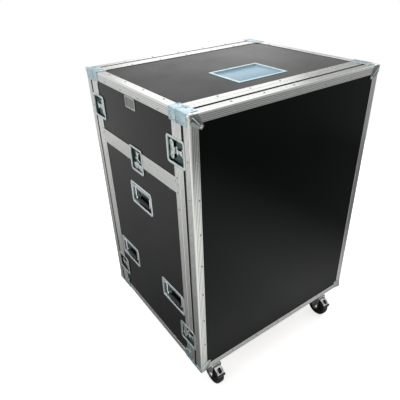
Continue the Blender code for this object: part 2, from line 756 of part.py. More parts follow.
def build_base(pockets):
    """Boards and aluminium of the wheeled base."""
    inset = LID_DEPTH + FIT + SKIN + FIT
    ends = (-HALF_DEPTH + inset, HALF_DEPTH - inset)
    board_top = SPLIT - FIT - SKIN - FIT
    openings = handle_pockets()
    for side, sign in (("left", -1), ("right", 1)):
        x = sorted((sign * (HALF_WIDTH - BOARD_OUT), sign * (HALF_WIDTH - BOARD_IN)))
        board = boxes(((x[0], ends[0], UNDERSIDE + BOARD_OUT), (x[1], ends[1], board_top)))
        node(f"base_{side}_panel", cut(cut(board, openings), pockets), "laminate")
    inside = HALF_WIDTH - BOARD_IN - FIT
    floor = boxes(((-inside, ends[0], UNDERSIDE + BOARD_OUT), (inside, ends[1], UNDERSIDE + BOARD_IN)))
    node("base_floor", floor, "plywood")
    pieces = []
    for end in (-1, 1):
        section = [(depth, end * (HALF_DEPTH - LID_DEPTH - FIT + along))
                   for depth, along in plain_channel(BODY_CHANNEL_LEG)]
        pieces.append(sweep(section, base_path, False))
    for side in (-1, 1):
        pieces.append(long_angle(side, UNDERSIDE, 1))
        pieces.append(band_channel(side, lipped_channel(BAND_CHANNEL_LEG), 1))
    frame = cut(join(*pieces, base_corner_plates()), pockets)
    node("base_frame", frame, "aluminium")


def base_corner_plates():
    """Plates on the base's bottom edges, flush below so that the boards under them fit."""
    shape = bmesh.new()
    start = HALF_DEPTH - LID_DEPTH - FIT
    for side in (-1, 1):
        for end in (-1, 1):
            x = sorted((side * (HALF_WIDTH + PROUD), side * (HALF_WIDTH - CORNER_SINK)))
            y = sorted((end * start, end * (start - CORNER_LEG)))
            add_box(shape, (x[0], y[0], UNDERSIDE), (x[1], y[1], UNDERSIDE + CORNER_LEG))
    return finish(shape)


def build_cover(pockets):
    """Boards and aluminium of the cover that lifts off the base."""
    inset = LID_DEPTH + FIT + SKIN + FIT
    ends = (-HALF_DEPTH + inset, HALF_DEPTH - inset)
    section = [(BOARD_OUT, ends[0]), (BOARD_OUT, ends[1]), (BOARD_IN, ends[1]), (BOARD_IN, ends[0])]

    def board_path(depth):
        x = HALF_WIDTH - depth
        end = SPLIT + FIT + SKIN + FIT
        return [(-x, end), (-x, TOP - depth), (x, TOP - depth), (x, end)]

    shell = cut(sweep(section, board_path, False), pockets)
    node("cover_shell", cut(shell, label_pocket()), "laminate")
    pieces = []
    for end in (-1, 1):
        section = [(depth, end * (HALF_DEPTH - LID_DEPTH - FIT + along))
                   for depth, along in plain_channel(BODY_CHANNEL_LEG)]
        pieces.append(sweep(section, cover_path, False))
    for side in (-1, 1):
        pieces.append(long_angle(side, TOP, -1))
        pieces.append(band_channel(side, plain_channel(BAND_CHANNEL_LEG), -1))
    frame = cut(join(*pieces, corner_plates(TOP, -1)), pockets)
    node("cover_frame", join(frame, strikes("cover")), "aluminium")
    node("label_dish", label_dish(), "zinc")


def strikes(owner):
    """One mesh of the strikes that a shell carries."""
    shape = bmesh.new()
    strike = latch_strike()
    for _, _, holder, place in latch_places():
        if holder == owner:
            start = len(shape.verts)
            shape.from_mesh(strike)
            shape.verts.ensure_lookup_table()
            bmesh.ops.transform(shape, matrix=place, verts=shape.verts[start:])
    return finish(shape)


def build_lid(end_name, end, pockets):
    """Board tray and aluminium of one pull-off lid."""
    walls = LID_DEPTH - FIT - SKIN - FIT
    inside = HALF_WIDTH - BOARD_OUT
    y = sorted((end * (HALF_DEPTH - BOARD_OUT), end * (HALF_DEPTH - walls)))
    tray = boxes(((-inside, y[0], UNDERSIDE + BOARD_OUT), (inside, y[1], TOP - BOARD_OUT)))
    inside = HALF_WIDTH - BOARD_IN
    y = sorted((end * (HALF_DEPTH - BOARD_IN), end * (HALF_DEPTH - LID_DEPTH - CUT_PAST)))
    hollow = boxes(((-inside, y[0], UNDERSIDE + BOARD_IN), (inside, y[1], TOP - BOARD_IN)))
    node(f"{end_name}_lid_panel", cut(cut(tray, hollow), pockets), "laminate")
    edge = [(depth, end * (HALF_DEPTH - inward))
            for depth, inward in round_corner_angle(EDGE_FACE_LEG, EDGE_SIDE_LEG)]
    seam = [(depth, end * (HALF_DEPTH - LID_DEPTH + FIT - along))
            for depth, along in lipped_channel(LID_CHANNEL_LEG)]
    frame = join(sweep(seam, whole_path, True), lid_corner_caps(end), sweep(edge, whole_path, True))
    frame = join(cut(frame, pockets), strikes(f"{end_name}_lid"))
    node(f"{end_name}_lid_frame", frame, "aluminium")


def build_latches():
    """Ten latches: a dish with its post, and the butterfly that flips out of it."""
    dish, wings = latch_dish(), butterfly()
    hinge = Matrix.Translation((HINGE_DEPTH, POST_ALONG, 0))
    for name, _, _, place in latch_places():
        node(f"latch_dish_{name}", dish, "zinc", place)
        node(f"butterfly_{name}", wings, "steel", place @ hinge, smooth=True)


def build_handles():
    """Six sprung handles: a dish, and the bail that swings out of it."""
    dish, swing = handle_dish(), bail()
    pivot = Matrix.Translation((BAIL_DEPTH, 0, BAIL_PIVOT_UP))
    for name, place in handle_places():
        node(f"handle_dish_{name}", dish, "zinc", place)
        node(f"handle_bail_{name}", swing, "rubber", place @ pivot, smooth=True)


def build_castors():
    """Two boards under the floor, each with two swivel castors."""
    plate, fork, wheel = castor_plate(), castor_fork(), castor_wheel()
    half = RUNNER_WIDTH / 2
    reach = HALF_DEPTH - RUNNER_END_INSET
    for side, sign in (("left", -1), ("right", 1)):
        x = sign * (HALF_WIDTH - CASTOR_SIDE_INSET)
        upright = Matrix.Rotation(-math.pi / 2, 4, "Y")
        outline = rounded_outline((-reach, -half), (reach, half), (PLATE_CORNER,) * 4)
        runner = prism(outline, UNDERSIDE - FIT - RUNNER_THICK, UNDERSIDE - FIT, upright)
        node(f"castor_runner_{side}", runner, "laminate", Matrix.Translation((x, 0, 0)))
        for end, way in (("front", -1), ("rear", 1)):
            axis = Matrix.Translation((x, way * (HALF_DEPTH - CASTOR_END_INSET), 0))
            if way > 0:
                axis = axis @ Matrix.Rotation(math.pi, 4, "Z")
            axle = Matrix.Translation((0, -CASTOR_TRAIL, WHEEL_RADIUS))
            node(f"castor_plate_{side}_{end}", plate, "zinc", axis, smooth=True)
            node(f"castor_fork_{side}_{end}", fork, "zinc", axis, smooth=True)
            node(f"castor_wheel_{side}_{end}", wheel, "rubber", axis @ axle, smooth=True)


def build_inside():
    """Tray for the desk, and the two rail frames of the rack bay that carry it."""
    low = SPLIT - TRAY_BELOW_SPLIT - TRAY_BOARD
    high = low + TRAY_BOARD
    reach = HALF_DEPTH - LID_DEPTH - TRAY_END_INSET
    inner = reach - TRAY_BOARD
    rise = high + TRAY_UPSTAND
    outline = [(-reach, low), (reach, low), (reach, rise), (inner, rise), (inner, high),
               (-inner, high), (-inner, rise), (-reach, rise)]
    inside = HALF_WIDTH - BOARD_IN - FIT
    node("mixer_tray", prism(outline, -inside, inside), "plywood")
    bottom = UNDERSIDE + BOARD_IN + FIT

    def rack_path(depth):
        x = RACK_HALF_WIDTH - depth
        return [(-x, bottom + depth), (-x, low - FIT - depth), (x, low - FIT - depth),
                (x, bottom + depth)]

    angle = [(0, 0), (0, RACK_FLANGE), (RACK_SHEET, RACK_FLANGE), (RACK_SHEET, RACK_SHEET),
             (RACK_FLANGE, RACK_SHEET), (RACK_FLANGE, 0)]
    for end_name, end in (("front", -1), ("rear", 1)):
        face = HALF_DEPTH - LID_DEPTH - RACK_END_INSET
        section = [(depth, end * (face - back)) for depth, back in angle]
        node(f"{end_name}_rack_frame", sweep(section, rack_path, True), "black_steel")


for leftover in list(bpy.data.objects):
    bpy.data.objects.remove(leftover)
latch_cutters = latch_pockets()
build_base(latch_cutters)
build_cover(latch_cutters)
build_lid("front", -1, latch_cutters)
build_lid("rear", 1, latch_cutters)
build_latches()
build_handles()
build_castors()
build_inside()
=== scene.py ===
import math

import bmesh
import bpy
from mathutils import Matrix, Vector


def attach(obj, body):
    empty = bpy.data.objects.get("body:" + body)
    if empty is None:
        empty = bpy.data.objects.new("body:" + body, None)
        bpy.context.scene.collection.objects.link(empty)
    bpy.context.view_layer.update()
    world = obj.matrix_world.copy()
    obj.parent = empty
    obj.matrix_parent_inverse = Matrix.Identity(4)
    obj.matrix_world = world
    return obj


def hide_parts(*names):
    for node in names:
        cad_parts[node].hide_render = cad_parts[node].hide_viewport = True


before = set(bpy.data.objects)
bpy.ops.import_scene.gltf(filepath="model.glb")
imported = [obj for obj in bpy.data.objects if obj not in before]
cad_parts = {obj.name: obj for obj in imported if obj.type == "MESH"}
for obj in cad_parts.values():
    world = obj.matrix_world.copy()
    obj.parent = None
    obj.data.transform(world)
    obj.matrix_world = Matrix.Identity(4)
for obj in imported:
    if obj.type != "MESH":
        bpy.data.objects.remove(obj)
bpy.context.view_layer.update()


# The view. The case stands on a pale studio floor that ends behind the viewer, with a white
# backdrop behind it and a dark room in front. The viewer stands in front of its left corner,
# and broad soft lamps light it from above and from the sides.
FLOOR_X, FLOOR_Y = (-2.8, 2.6), (-2.40, 2.6)
FLOOR_PALE, FLOOR_SHADED = (0.78, 0.78, 0.77), (0.24, 0.24, 0.24)
FLOOR_GLOW, FLOOR_MIRRORED = 0.68, 0.50
BRIGHT_LEFT, BRIGHT_FRONT, BRIGHT_END = (-0.4, -2.3), (-0.35, -0.6), (1.15, 0.35)
BACKDROP_AXIS, BACKDROP_EDGE, BACKDROP_GLOW = (-0.45, 0.85, 0.10), (-0.15, 0.60), 0.80
SKY_AXIS = (-0.25, 0.45, 0.85)
SKY_GREYS = ((0.0, 0.02), (0.30, 0.03), (0.50, 0.30), (0.72, 0.72), (1.0, 0.82))
SKY_BLUER = 1.01
LAMPS = (("overhead", (0.3, 0.3, 3.2), (0, 0, 1.0), 2.6, 14),
         ("left", (-2.8, 1.1, 2.0), (0, 0, 0.9), 1.6, 14),
         ("right", (3.0, 0.2, 2.0), (0, 0, 0.8), 1.6, 12),
         ("behind", (1.7, 2.5, 2.7), (0, 0, 1.2), 2.4, 12))
VIEW_PLACE = Vector((-1.088, -1.370, 1.746))
VIEW_AHEAD = Vector((0.4800, 0.7100, -0.5150)).normalized()
VIEW_RIGHT = Vector((0.8170, -0.5760, -0.0330))
VIEW_LENS, VIEW_FILM, VIEW_NEAREST = 37.2, 36.0, 0.05


def new_finish(name):
    """An empty node material, with a function that adds a linked node to it."""
    finish = bpy.data.materials.new(name)
    finish.use_nodes = True
    finish.node_tree.nodes.clear()
    return finish, node_adder(finish.node_tree)


def node_adder(tree):
    """A function that adds a node to the tree: settings by name, inputs as values or links."""
    def add(kind, inputs=None, **settings):
        made = tree.nodes.new("ShaderNode" + kind)
        for setting, value in settings.items():
            setattr(made, setting, value)
        for key, value in (inputs or {}).items():
            socket = made.inputs[key]
            if isinstance(value, bpy.types.NodeSocket):
                tree.links.new(value, socket)
            elif isinstance(value, tuple) and len(value) == 3 and socket.type == "RGBA":
                socket.default_value = (*value, 1.0)
            else:
                socket.default_value = value
        return made
    return add


def maths(add, operation, *values):
    """The result of an operation on numbers or links."""
    return add("Math", dict(enumerate(values)), operation=operation).outputs[0]


def ranged(add, value, low=0.0, high=1.0, span=(0.0, 1.0), **settings):
    """A value brought from its span to the range from low to high."""
    return add("MapRange", {"Value": value, "From Min": span[0], "From Max": span[1], "To Min": low,
                            "To Max": high}, **settings).outputs[0]


def blended(add, share, first, second):
    """Colour mixed from two colours or links by a share."""
    return add("Mix", {"Factor": share, "A": first, "B": second}, data_type="RGBA").outputs["Result"]


def leaning(add, direction, axis):
    """How far a direction leans towards an axis."""
    return add("VectorMath", {0: direction, 1: axis}, operation="DOT_PRODUCT").outputs["Value"]


def split_place(add, place):
    """A place's X, Y and Z."""
    return add("SeparateXYZ", {0: place}).outputs


studio = bpy.data.worlds.new("studio")
bpy.context.scene.world = studio
studio.use_nodes = True
studio.node_tree.nodes.clear()
add = node_adder(studio.node_tree)
ray = add("LightPath").outputs
direction = add("TexCoord").outputs["Generated"]
backdrop = ranged(add, leaning(add, direction, BACKDROP_AXIS), 0.0, BACKDROP_GLOW, BACKDROP_EDGE,
                  interpolation_type="SMOOTHSTEP")
backdrop = maths(add, "MULTIPLY", ray["Is Glossy Ray"], backdrop)
whiteness = maths(add, "MAXIMUM", ray["Is Camera Ray"], ray["Is Transmission Ray"])
whiteness = maths(add, "MAXIMUM", whiteness, backdrop)
sky = add("ValToRGB", {0: ranged(add, leaning(add, direction, SKY_AXIS), span=(-1.0, 1.0))})
stops = sky.color_ramp.elements
for height, grey in SKY_GREYS:
    stop = stops.new(height) if 0 < height < 1 else stops[int(height)]
    stop.color = (grey, grey, grey * SKY_BLUER, 1.0)
ambient = add("Background", {"Color": sky.outputs[0], "Strength": 1.0})
white = add("Background", {"Color": (1.0, 1.0, 1.0), "Strength": 1.0})
around = add("MixShader", {0: whiteness, 1: ambient.outputs[0], 2: white.outputs[0]})
add("OutputWorld", {"Surface": around.outputs[0]})

floor_finish, add = new_finish("pale_floor")
ray = add("LightPath").outputs
spot = split_place(add, add("TexCoord").outputs["Object"])
# Painted shade and light on the floor, seen only in reflections: glossy rays see it darkened towards
# FLOOR_SHADED near the case and to the right, and glowing where it lies far to the left or in front.
bright_front = maths(add, "MULTIPLY", ranged(add, spot["Y"], span=BRIGHT_FRONT),
                     ranged(add, spot["X"], span=BRIGHT_END))
bright = maths(add, "MAXIMUM", ranged(add, spot["X"], span=BRIGHT_LEFT), bright_front)
mirror_glow = maths(add, "MULTIPLY", bright, ray["Is Glossy Ray"])
mirror_glow = maths(add, "MULTIPLY", mirror_glow, FLOOR_MIRRORED)
glow = maths(add, "MAXIMUM", ray["Is Camera Ray"], ray["Is Transmission Ray"])
glow = maths(add, "MAXIMUM", maths(add, "MULTIPLY", glow, FLOOR_GLOW), mirror_glow)
shaded = maths(add, "MULTIPLY", maths(add, "SUBTRACT", 1.0, bright), ray["Is Glossy Ray"])
matt = add("BsdfDiffuse", {"Color": blended(add, shaded, FLOOR_PALE, FLOOR_SHADED)})
glowing = add("Emission", {"Color": (1.0, 1.0, 1.0), "Strength": glow})
both = add("AddShader", {0: matt.outputs[0], 1: glowing.outputs[0]})
add("OutputMaterial", {"Surface": both.outputs[0]})
floor_data = bpy.data.meshes.new("floor")
floor_data.from_pydata([(x, y, 0) for y in FLOOR_Y for x in FLOOR_X], [], [(0, 1, 3, 2)])
floor_data.materials.append(floor_finish)
floor = bpy.data.objects.new("floor", floor_data)
bpy.context.scene.collection.objects.link(floor)

for name, stand, target, size, power in LAMPS:
    lamp = bpy.data.lights.new(name, "AREA")
    lamp.shape = "DISK"
    lamp.size = size
    lamp.energy = power
    holder = bpy.data.objects.new(name, lamp)
    holder.location = stand
    holder.rotation_euler = (Vector(target) - Vector(stand)).to_track_quat("-Z", "Y").to_euler()
    bpy.context.scene.collection.objects.link(holder)

rightward = (VIEW_RIGHT - VIEW_AHEAD * VIEW_RIGHT.dot(VIEW_AHEAD)).normalized()
eye = bpy.data.objects.new("eye", bpy.data.cameras.new("eye"))
eye.data.sensor_width = VIEW_FILM
eye.data.lens = VIEW_LENS
eye.data.clip_start = VIEW_NEAREST
eye.matrix_world = Matrix.Translation(VIEW_PLACE) @ Matrix(
    (rightward, rightward.cross(VIEW_AHEAD), -VIEW_AHEAD)).transposed().to_4x4()
bpy.context.scene.collection.objects.link(eye)
bpy.context.scene.camera = eye
bpy.context.scene.view_settings.view_transform = "Standard"


# Laminated boards. The walls of the base, the cover and the lids are thin birch plywood with
# a black stippled laminate on the outside; the inside is left as varnished wood. The two
# boards under the floor have the laminate all round.
CASE_HALF = Vector((0.4575, 0.397, 0.0))
UNDERSIDE, SPLIT, TOP, LID_DEPTH = 0.168, 1.061, 1.338, 0.0765
SEAM = CASE_HALF.y - LID_DEPTH
BOARD_INSET, LAMINATE = 0.0023, 0.0006
BOARD_TOP = TOP - BOARD_INSET
LAMINATE_BLACKS = ((0.0004, 0.0006, 0.0006), (0.0011, 0.0014, 0.0014), (0.0024, 0.0029, 0.0028))
LAMINATE_GRAIN, LAMINATE_CLOUD, LAMINATE_RELIEF = 620.0, 7.0, (0.30, 0.0004)
LAMINATE_TINT, LAMINATE_SHINE, FADED_SHINE = (0.90, 1.0, 0.975), 0.09, 0.030
UPPER_LIGHT_GREY, UPPER_LIGHT_SPAN = (0.05, 0.05, 0.049), (0.50, 1.00)
TOP_SHEEN_DARK, TOP_SHEEN_LIGHT = (0.024, 0.024, 0.023), (0.088, 0.087, 0.085)
TOP_SHEEN_SPAN = (BOARD_TOP - 0.0004, BOARD_TOP - 0.0001)
SHEEN_FADE_BLACK, SHEEN_FADE_SPAN, SHEEN_FADE_MOST = (0.006, 0.006, 0.006), (0.42, -0.20), 0.85
BIRCH_DARK, BIRCH_LIGHT = (0.50, 0.36, 0.215), (0.66, 0.52, 0.35)
BIRCH_PORE, BIRCH_GLUE = (0.30, 0.19, 0.10), (0.24, 0.14, 0.075)
FIGURE_SCALE, PORE_SCALE, PLY_PITCH = (2.2, 16.0, 16.0), (30.0, 700.0, 700.0), 3400.0


def new_group(name, inputs, outputs):
    """A shared effect: a shader node group with named sockets."""
    tree = bpy.data.node_groups.new(name, "ShaderNodeTree")
    for label, kind, value in inputs:
        socket = tree.interface.new_socket(label, in_out="INPUT", socket_type="NodeSocket" + kind)
        if value is not None:
            socket.default_value = value
    for label, kind in outputs:
        tree.interface.new_socket(label, in_out="OUTPUT", socket_type="NodeSocket" + kind)
    return tree, node_adder(tree), tree.nodes.new("NodeGroupInput").outputs


def put_out(tree, **values):
    """What a shared effect puts out."""
    end = tree.nodes.new("NodeGroupOutput")
    for label, link in values.items():
        tree.links.new(link, end.inputs[label])


def use_group(add, tree, inputs):
    """Place a shared effect in a material."""
    made = add("Group", node_tree=tree)
    for key, value in inputs.items():
        if isinstance(value, bpy.types.NodeSocket):
            made.id_data.links.new(value, made.inputs[key])
        else:
            made.inputs[key].default_value = value
    return made.outputs


def bumped(add, height, strength, distance):
    """The surface's direction over a fine relief."""
    return add("Bump", {"Height": height, "Strength": strength, "Distance": distance}).outputs[0]


def surfaced(add, **inputs):
    """The material's shader, with spaces for underscores in the names of its sockets."""
    shader = add("BsdfPrincipled", {key.replace("_", " "): value for key, value in inputs.items()})
    add("OutputMaterial", {"Surface": shader.outputs[0]})


# Speckle: the fine pebbled grain of laminate and of painted steel, with cloudy dust over it.
speckle, add, given = new_group(
    "speckle", [("Vector", "Vector", None), ("Grain Scale", "Float", 900.0),
                ("Cloud Scale", "Float", 6.0)], [("Grain", "Float"), ("Cloud", "Float")])
pebbles = add("TexVoronoi", {"Vector": given["Vector"], "Scale": given["Grain Scale"]},
              feature="SMOOTH_F1")
fine = add("TexNoise", {"Vector": given["Vector"], "Scale": given["Grain Scale"], "Detail": 2.0})
cloud = add("TexNoise", {"Vector": given["Vector"], "Scale": given["Cloud Scale"],
                         "Detail": 6.0, "Roughness": 0.62})
put_out(speckle, Cloud=cloud.outputs[0], Grain=maths(
    add, "MULTIPLY_ADD", pebbles.outputs["Distance"], fine.outputs[0], 0.15))

# Plies: the layers that show on the edge of a plywood board, and the long grain of its face.
plies, add, given = new_group("plies", [("Vector", "Vector", None), ("Across", "Float", 0.0)],
                              [("Wood", "Color"), ("Height", "Float")])
stretched = add("Mapping", {"Vector": given["Vector"], "Scale": FIGURE_SCALE})
figure = add("TexNoise", {"Vector": stretched.outputs[0], "Scale": 3.0, "Detail": 9.0,
                          "Roughness": 0.7, "Distortion": 0.6})
stretched = add("Mapping", {"Vector": given["Vector"], "Scale": PORE_SCALE})
pore = add("TexNoise", {"Vector": stretched.outputs[0], "Scale": 1.0, "Detail": 3.0}).outputs[0]
glue = maths(add, "SINE", maths(add, "MULTIPLY", given["Across"], PLY_PITCH))
wood = blended(add, figure.outputs[0], BIRCH_DARK, BIRCH_LIGHT)
wood = blended(add, ranged(add, pore, 0.0, 0.5), wood, BIRCH_PORE)
wood = blended(add, ranged(add, glue, 0.0, 0.45), wood, BIRCH_GLUE)
put_out(plies, Wood=wood, Height=pore)


def laminate_finish(name, inside, rough=(0.22, 0.38), upper_light=0.0):
    """Black laminate, with painted light that grows towards the top of the case and a painted sheen
    on the top, fading to black and shining less towards the left; wood shows inside the limits
    that are given as (axis, distance from the middle)."""
    finish, add = new_finish(name)
    place = add("TexCoord").outputs["Object"]
    spot = split_place(add, place)
    grain = use_group(add, speckle, {"Vector": place, "Grain Scale": LAMINATE_GRAIN,
                                     "Cloud Scale": LAMINATE_CLOUD})
    colour = blended(add, grain["Cloud"], *LAMINATE_BLACKS[:2])
    colour = blended(add, ranged(add, grain["Grain"], 0.0, 0.5), colour, LAMINATE_BLACKS[2])
    # Painted light: the colour grows lighter up the walls towards the top of the case.
    if upper_light:
        colour = blended(add, ranged(add, spot["Z"], 0.0, upper_light, UPPER_LIGHT_SPAN), colour, UPPER_LIGHT_GREY)
    # Painted sheen on the top face: a speckled grey that fades to near black towards the left, where the
    # top's shine is also lowered.
    top_face = ranged(add, spot["Z"], span=TOP_SHEEN_SPAN)
    sheen_fade = ranged(add, spot["X"], 0.0, SHEEN_FADE_MOST, SHEEN_FADE_SPAN)
    top_sheen = blended(add, sheen_fade, blended(add, grain["Grain"], TOP_SHEEN_DARK, TOP_SHEEN_LIGHT), SHEEN_FADE_BLACK)
    colour = blended(add, top_face, colour, top_sheen)
    dull = maths(add, "MULTIPLY", top_face, sheen_fade)
    if inside:
        within = [maths(add, "LESS_THAN", maths(add, "ABSOLUTE", spot[axis]), limit)
                  for axis, limit in inside]
        within.append(maths(add, "LESS_THAN", spot["Z"], BOARD_TOP - LAMINATE))
        mask = within[0]
        for other in within[1:]:
            mask = maths(add, "MULTIPLY", mask, other)
        board = use_group(add, plies, {"Vector": place, "Across": 0.0})
        colour = blended(add, mask, colour, board["Wood"])
    surfaced(add, Base_Color=colour, Roughness=ranged(add, grain["Cloud"], *rough),
             Specular_IOR_Level=ranged(add, dull, LAMINATE_SHINE, FADED_SHINE),
             Specular_Tint=LAMINATE_TINT, Normal=bumped(add, grain["Grain"], *LAMINATE_RELIEF))
    return finish


side_inner = ("X", CASE_HALF.x - BOARD_INSET - LAMINATE)
end_inner = ("Y", CASE_HALF.y - BOARD_INSET - LAMINATE)
# The base walls and the cover get painted light that grows towards the top.
wall_laminate = laminate_finish("wall_laminate", [side_inner], upper_light=0.35)
lid_laminate = laminate_finish("lid_laminate", [side_inner, end_inner], (0.12, 0.22))
runner_laminate = laminate_finish("runner_laminate", [])


def refinish(finish, *nodes):
    """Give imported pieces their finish."""
    for node in nodes:
        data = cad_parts[node].data
        data.materials.clear()
        data.materials.append(finish)


refinish(wall_laminate, "base_left_panel", "base_right_panel", "cover_shell")
refinish(lid_laminate, "front_lid_panel", "rear_lid_panel")
refinish(runner_laminate, "castor_runner_left", "castor_runner_right")


# Aluminium sections. Extruded angles cap the outer edges of the lids, channels close every
# seam, and angles run along the long edges; all are ribbed and riveted through the boards.
SHEET = 0.002
SEAM_FIT = 0.0003
EDGE_ROUND, END_BEVEL = 0.005, 0.0005
CORNER_ARC = [math.radians(t) for t in range(270, 179, -18)]
GROOVE_WIDE, GROOVE_DEEP = 0.0018, 0.0011
GROOVE_FORM = ((-0.5, 0), (-0.36, 1), (0.36, 1), (0.5, 0))
FACE_LEG, SIDE_LEG, LONG_LEG, LID_LEG = 0.033, 0.036, 0.035, 0.0255
BODY_LEG, BAND_LEG = 0.0285, 0.030
ANGLE_GROOVES, CHANNEL_GROOVES = 4, 3
LIP_OUT, LIP_IN, LIP_ROOT, LIP_REACH = 0.0141, 0.0161, 0.012, 0.007
CHANNEL_IN, CHANNEL_END, CHANNEL_BACK_LEG = 0.0121, 0.0138, 0.012
LATCH_HALF, LATCH_BODY, LATCH_STRIKE, LATCH_RIM = 0.052, 0.070, 0.0415, 0.006
LATCH_HIGH, LATCH_LOW = TOP - 0.148, UNDERSIDE + 0.157
POCKET_DEEP, POCKET_MIDDLE = 0.03, -0.003
ALUMINIUM_DARK, ALUMINIUM_LIGHT = (0.54, 0.55, 0.53), (0.78, 0.79, 0.765)
GROOVE_GRIME_AND_SHADE, GRIME_AND_SHADE_MOST, GRIME_AND_SHADE_SPAN = (0.30, 0.31, 0.295), 0.8, (0.0002, 0.0008)
TINT_RANGE, RECESS_MOST, SMUDGE_SPAN, STREAK_RELIEF = (-0.5, 1.4), 0.93, (0.0, 0.6), 0.0002
HALF_TURN = Matrix.Rotation(math.pi, 4, "Z")
SIDES = (("left", -1, Matrix()), ("right", 1, HALF_TURN))
ENDS = (("front", -1), ("rear", 1))
LEVELS = ((TOP, -1), (UNDERSIDE, 1))


def grooved(start, end, grooves):
    """Points (distance, depth) along a leg's outer face, from its free end, with its grooves."""
    way = math.copysign(1, end - start)
    points = [(start, END_BEVEL), (start + way * END_BEVEL, 0.0)]
    for i in range(grooves):
        middle = start + (end - start) * (i + 0.7) / (grooves + 0.4)
        points += [(middle + way * GROOVE_WIDE * step, GROOVE_DEEP * depth)
                   for step, depth in GROOVE_FORM]
    return points


def arc(a, b, wide, high, turns):
    """Points of a circle or an oval about a middle, at the given angles."""
    return [(a + wide * math.cos(t), b + high * math.sin(t)) for t in turns]


def edge_angle(first_leg, second_leg):
    """Angle with a rounded corner, as (first, second) distances from the sharp corner."""
    points = grooved(first_leg, EDGE_ROUND, ANGLE_GROOVES)
    points += arc(EDGE_ROUND, EDGE_ROUND, EDGE_ROUND, EDGE_ROUND, CORNER_ARC)
    points += [(depth, s) for s, depth in reversed(grooved(second_leg, EDGE_ROUND, ANGLE_GROOVES))]
    return points + [(SHEET, second_leg), (SHEET, SHEET), (first_leg, SHEET)]


def seam_channel(leg, lipped):
    """Channel along a seam, as (depth, along) points; along is negative on its own side."""
    points = [(depth, s) for s, depth in grooved(-leg, 0, CHANNEL_GROOVES)]
    points += [(0, -2 * END_BEVEL), (2 * END_BEVEL, 0)]
    if lipped:
        points += [(LIP_OUT, 0), (LIP_OUT, LIP_REACH), (LIP_IN, LIP_REACH - END_BEVEL),
                   (LIP_IN, -LIP_ROOT), (LIP_OUT, -LIP_ROOT), (LIP_OUT, -SHEET)]
    else:
        points += [(CHANNEL_END, 0), (CHANNEL_END, -CHANNEL_BACK_LEG),
                   (CHANNEL_IN, -CHANNEL_BACK_LEG), (CHANNEL_IN, -SHEET)]
    return points + [(SHEET, -SHEET), (SHEET, -leg)]


def mesh_of(shape, outward=True):
    """Mesh data from a bmesh, with its faces pointing out."""
    if outward:
        bmesh.ops.recalc_face_normals(shape, faces=shape.faces)
    data = bpy.data.meshes.new("shape")
    shape.to_mesh(data)
    shape.free()
    return data


def extruded(rings, closed=False):
    """Mesh through rings of points, with the run's length and girth in metres as its UV map."""
    shape = bmesh.new()
    uv = shape.loops.layers.uv.verify()
    rows = [[shape.verts.new(point) for point in ring] for ring in rings]
    girth = [0.0]
    for here, there in zip(rings[0], rings[0][1:] + rings[0][:1]):
        girth.append(girth[-1] + (there - here).length)
    run = 0.0
    for row in range(len(rings) if closed else len(rings) - 1):
        after = (row + 1) % len(rings)
        step = (rings[after][0] - rings[row][0]).length
        for i in range(len(rings[0])):
            j = (i + 1) % len(rings[0])
            face = shape.faces.new((rows[row][i], rows[row][j], rows[after][j], rows[after][i]))
            corners = ((run, girth[i]), (run, girth[i + 1]), (run + step, girth[i + 1]),
                       (run + step, girth[i]))
            for loop, corner in zip(face.loops, corners):
                loop[uv].uv = corner
        run += step
    if not closed:
        shape.faces.new(rows[0])
        shape.faces.new(rows[-1])
    return mesh_of(shape)


def worked(data, **modifiers):
    """The mesh after modifiers, each given by its type in small letters and its settings."""
    helper = bpy.data.objects.new("helper", data)
    bpy.context.scene.collection.objects.link(helper)
    for kind, settings in modifiers.items():
        modifier = helper.modifiers.new(kind, kind.upper())
        for setting, value in settings.items():
            setattr(modifier, setting, value)
    result = bpy.data.meshes.new_from_object(
        helper.evaluated_get(bpy.context.evaluated_depsgraph_get()))
    bpy.data.objects.remove(helper)
    return result


def softened(data, width, **settings):
    """The mesh with its sharp edges rounded off."""
    return worked(data, bevel={"width": width, "segments": 2, "limit_method": "ANGLE", **settings})


def carved(data, tool, operation="DIFFERENCE"):
    """The mesh with the tool's space taken out, joined on, or kept alone."""
    cutter = bpy.data.objects.new("cutter", tool)
    bpy.context.scene.collection.objects.link(cutter)
    result = worked(data, boolean={"operation": operation, "solver": "EXACT", "object": cutter})
    bpy.data.objects.remove(cutter)
    return result


def gathered(*parts):
    """One mesh of several, each given as mesh data or as (mesh data, its places)."""
    shape = bmesh.new()
    for part in parts:
        data, places = part if isinstance(part, tuple) else (part, [Matrix()])
        for place in places:
            start = len(shape.verts)
            shape.from_mesh(data)
            shape.verts.ensure_lookup_table()
            shape.verts.index_update()
            bmesh.ops.transform(shape, matrix=place, verts=shape.verts[start:])
            if place.determinant() < 0:
                bmesh.ops.reverse_faces(shape, faces=[face for face in shape.faces
                                                      if face.verts[0].index >= start])
    return mesh_of(shape, outward=False)


def piece(name, data, finish, body, sharp_from=32, replaces=(), place=Matrix()):
    """A finished piece that rides on a body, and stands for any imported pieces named."""
    thing = bpy.data.objects.new(name, data)
    thing.matrix_world = place
    bpy.context.scene.collection.objects.link(thing)
    data.materials.clear()
    data.materials.append(finish)
    data.shade_smooth()
    data.set_sharp_from_angle(angle=math.radians(sharp_from))
    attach(thing, body)
    if replaces:
        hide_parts(*replaces)


def led_round(section, levels, closed=False):
    """A (depth, y) section led up, across and down the case's outline, mitred at its corners."""
    rings = []
    for side, level in zip((-1, -1, 1, 1), levels):
        mitre = dict(LEVELS).get(level, 0)
        rings.append([Vector((side * (CASE_HALF.x - depth), y, level + mitre * depth))
                      for depth, y in section])
    return extruded(rings, closed)


def long_run(outline, side, reach):
    """A run from front to rear of an (inward, z) outline on one side of the case."""
    return extruded([[Vector((side * (CASE_HALF.x - inward), y, z)) for inward, z in outline]
                     for y in (-reach, reach)])


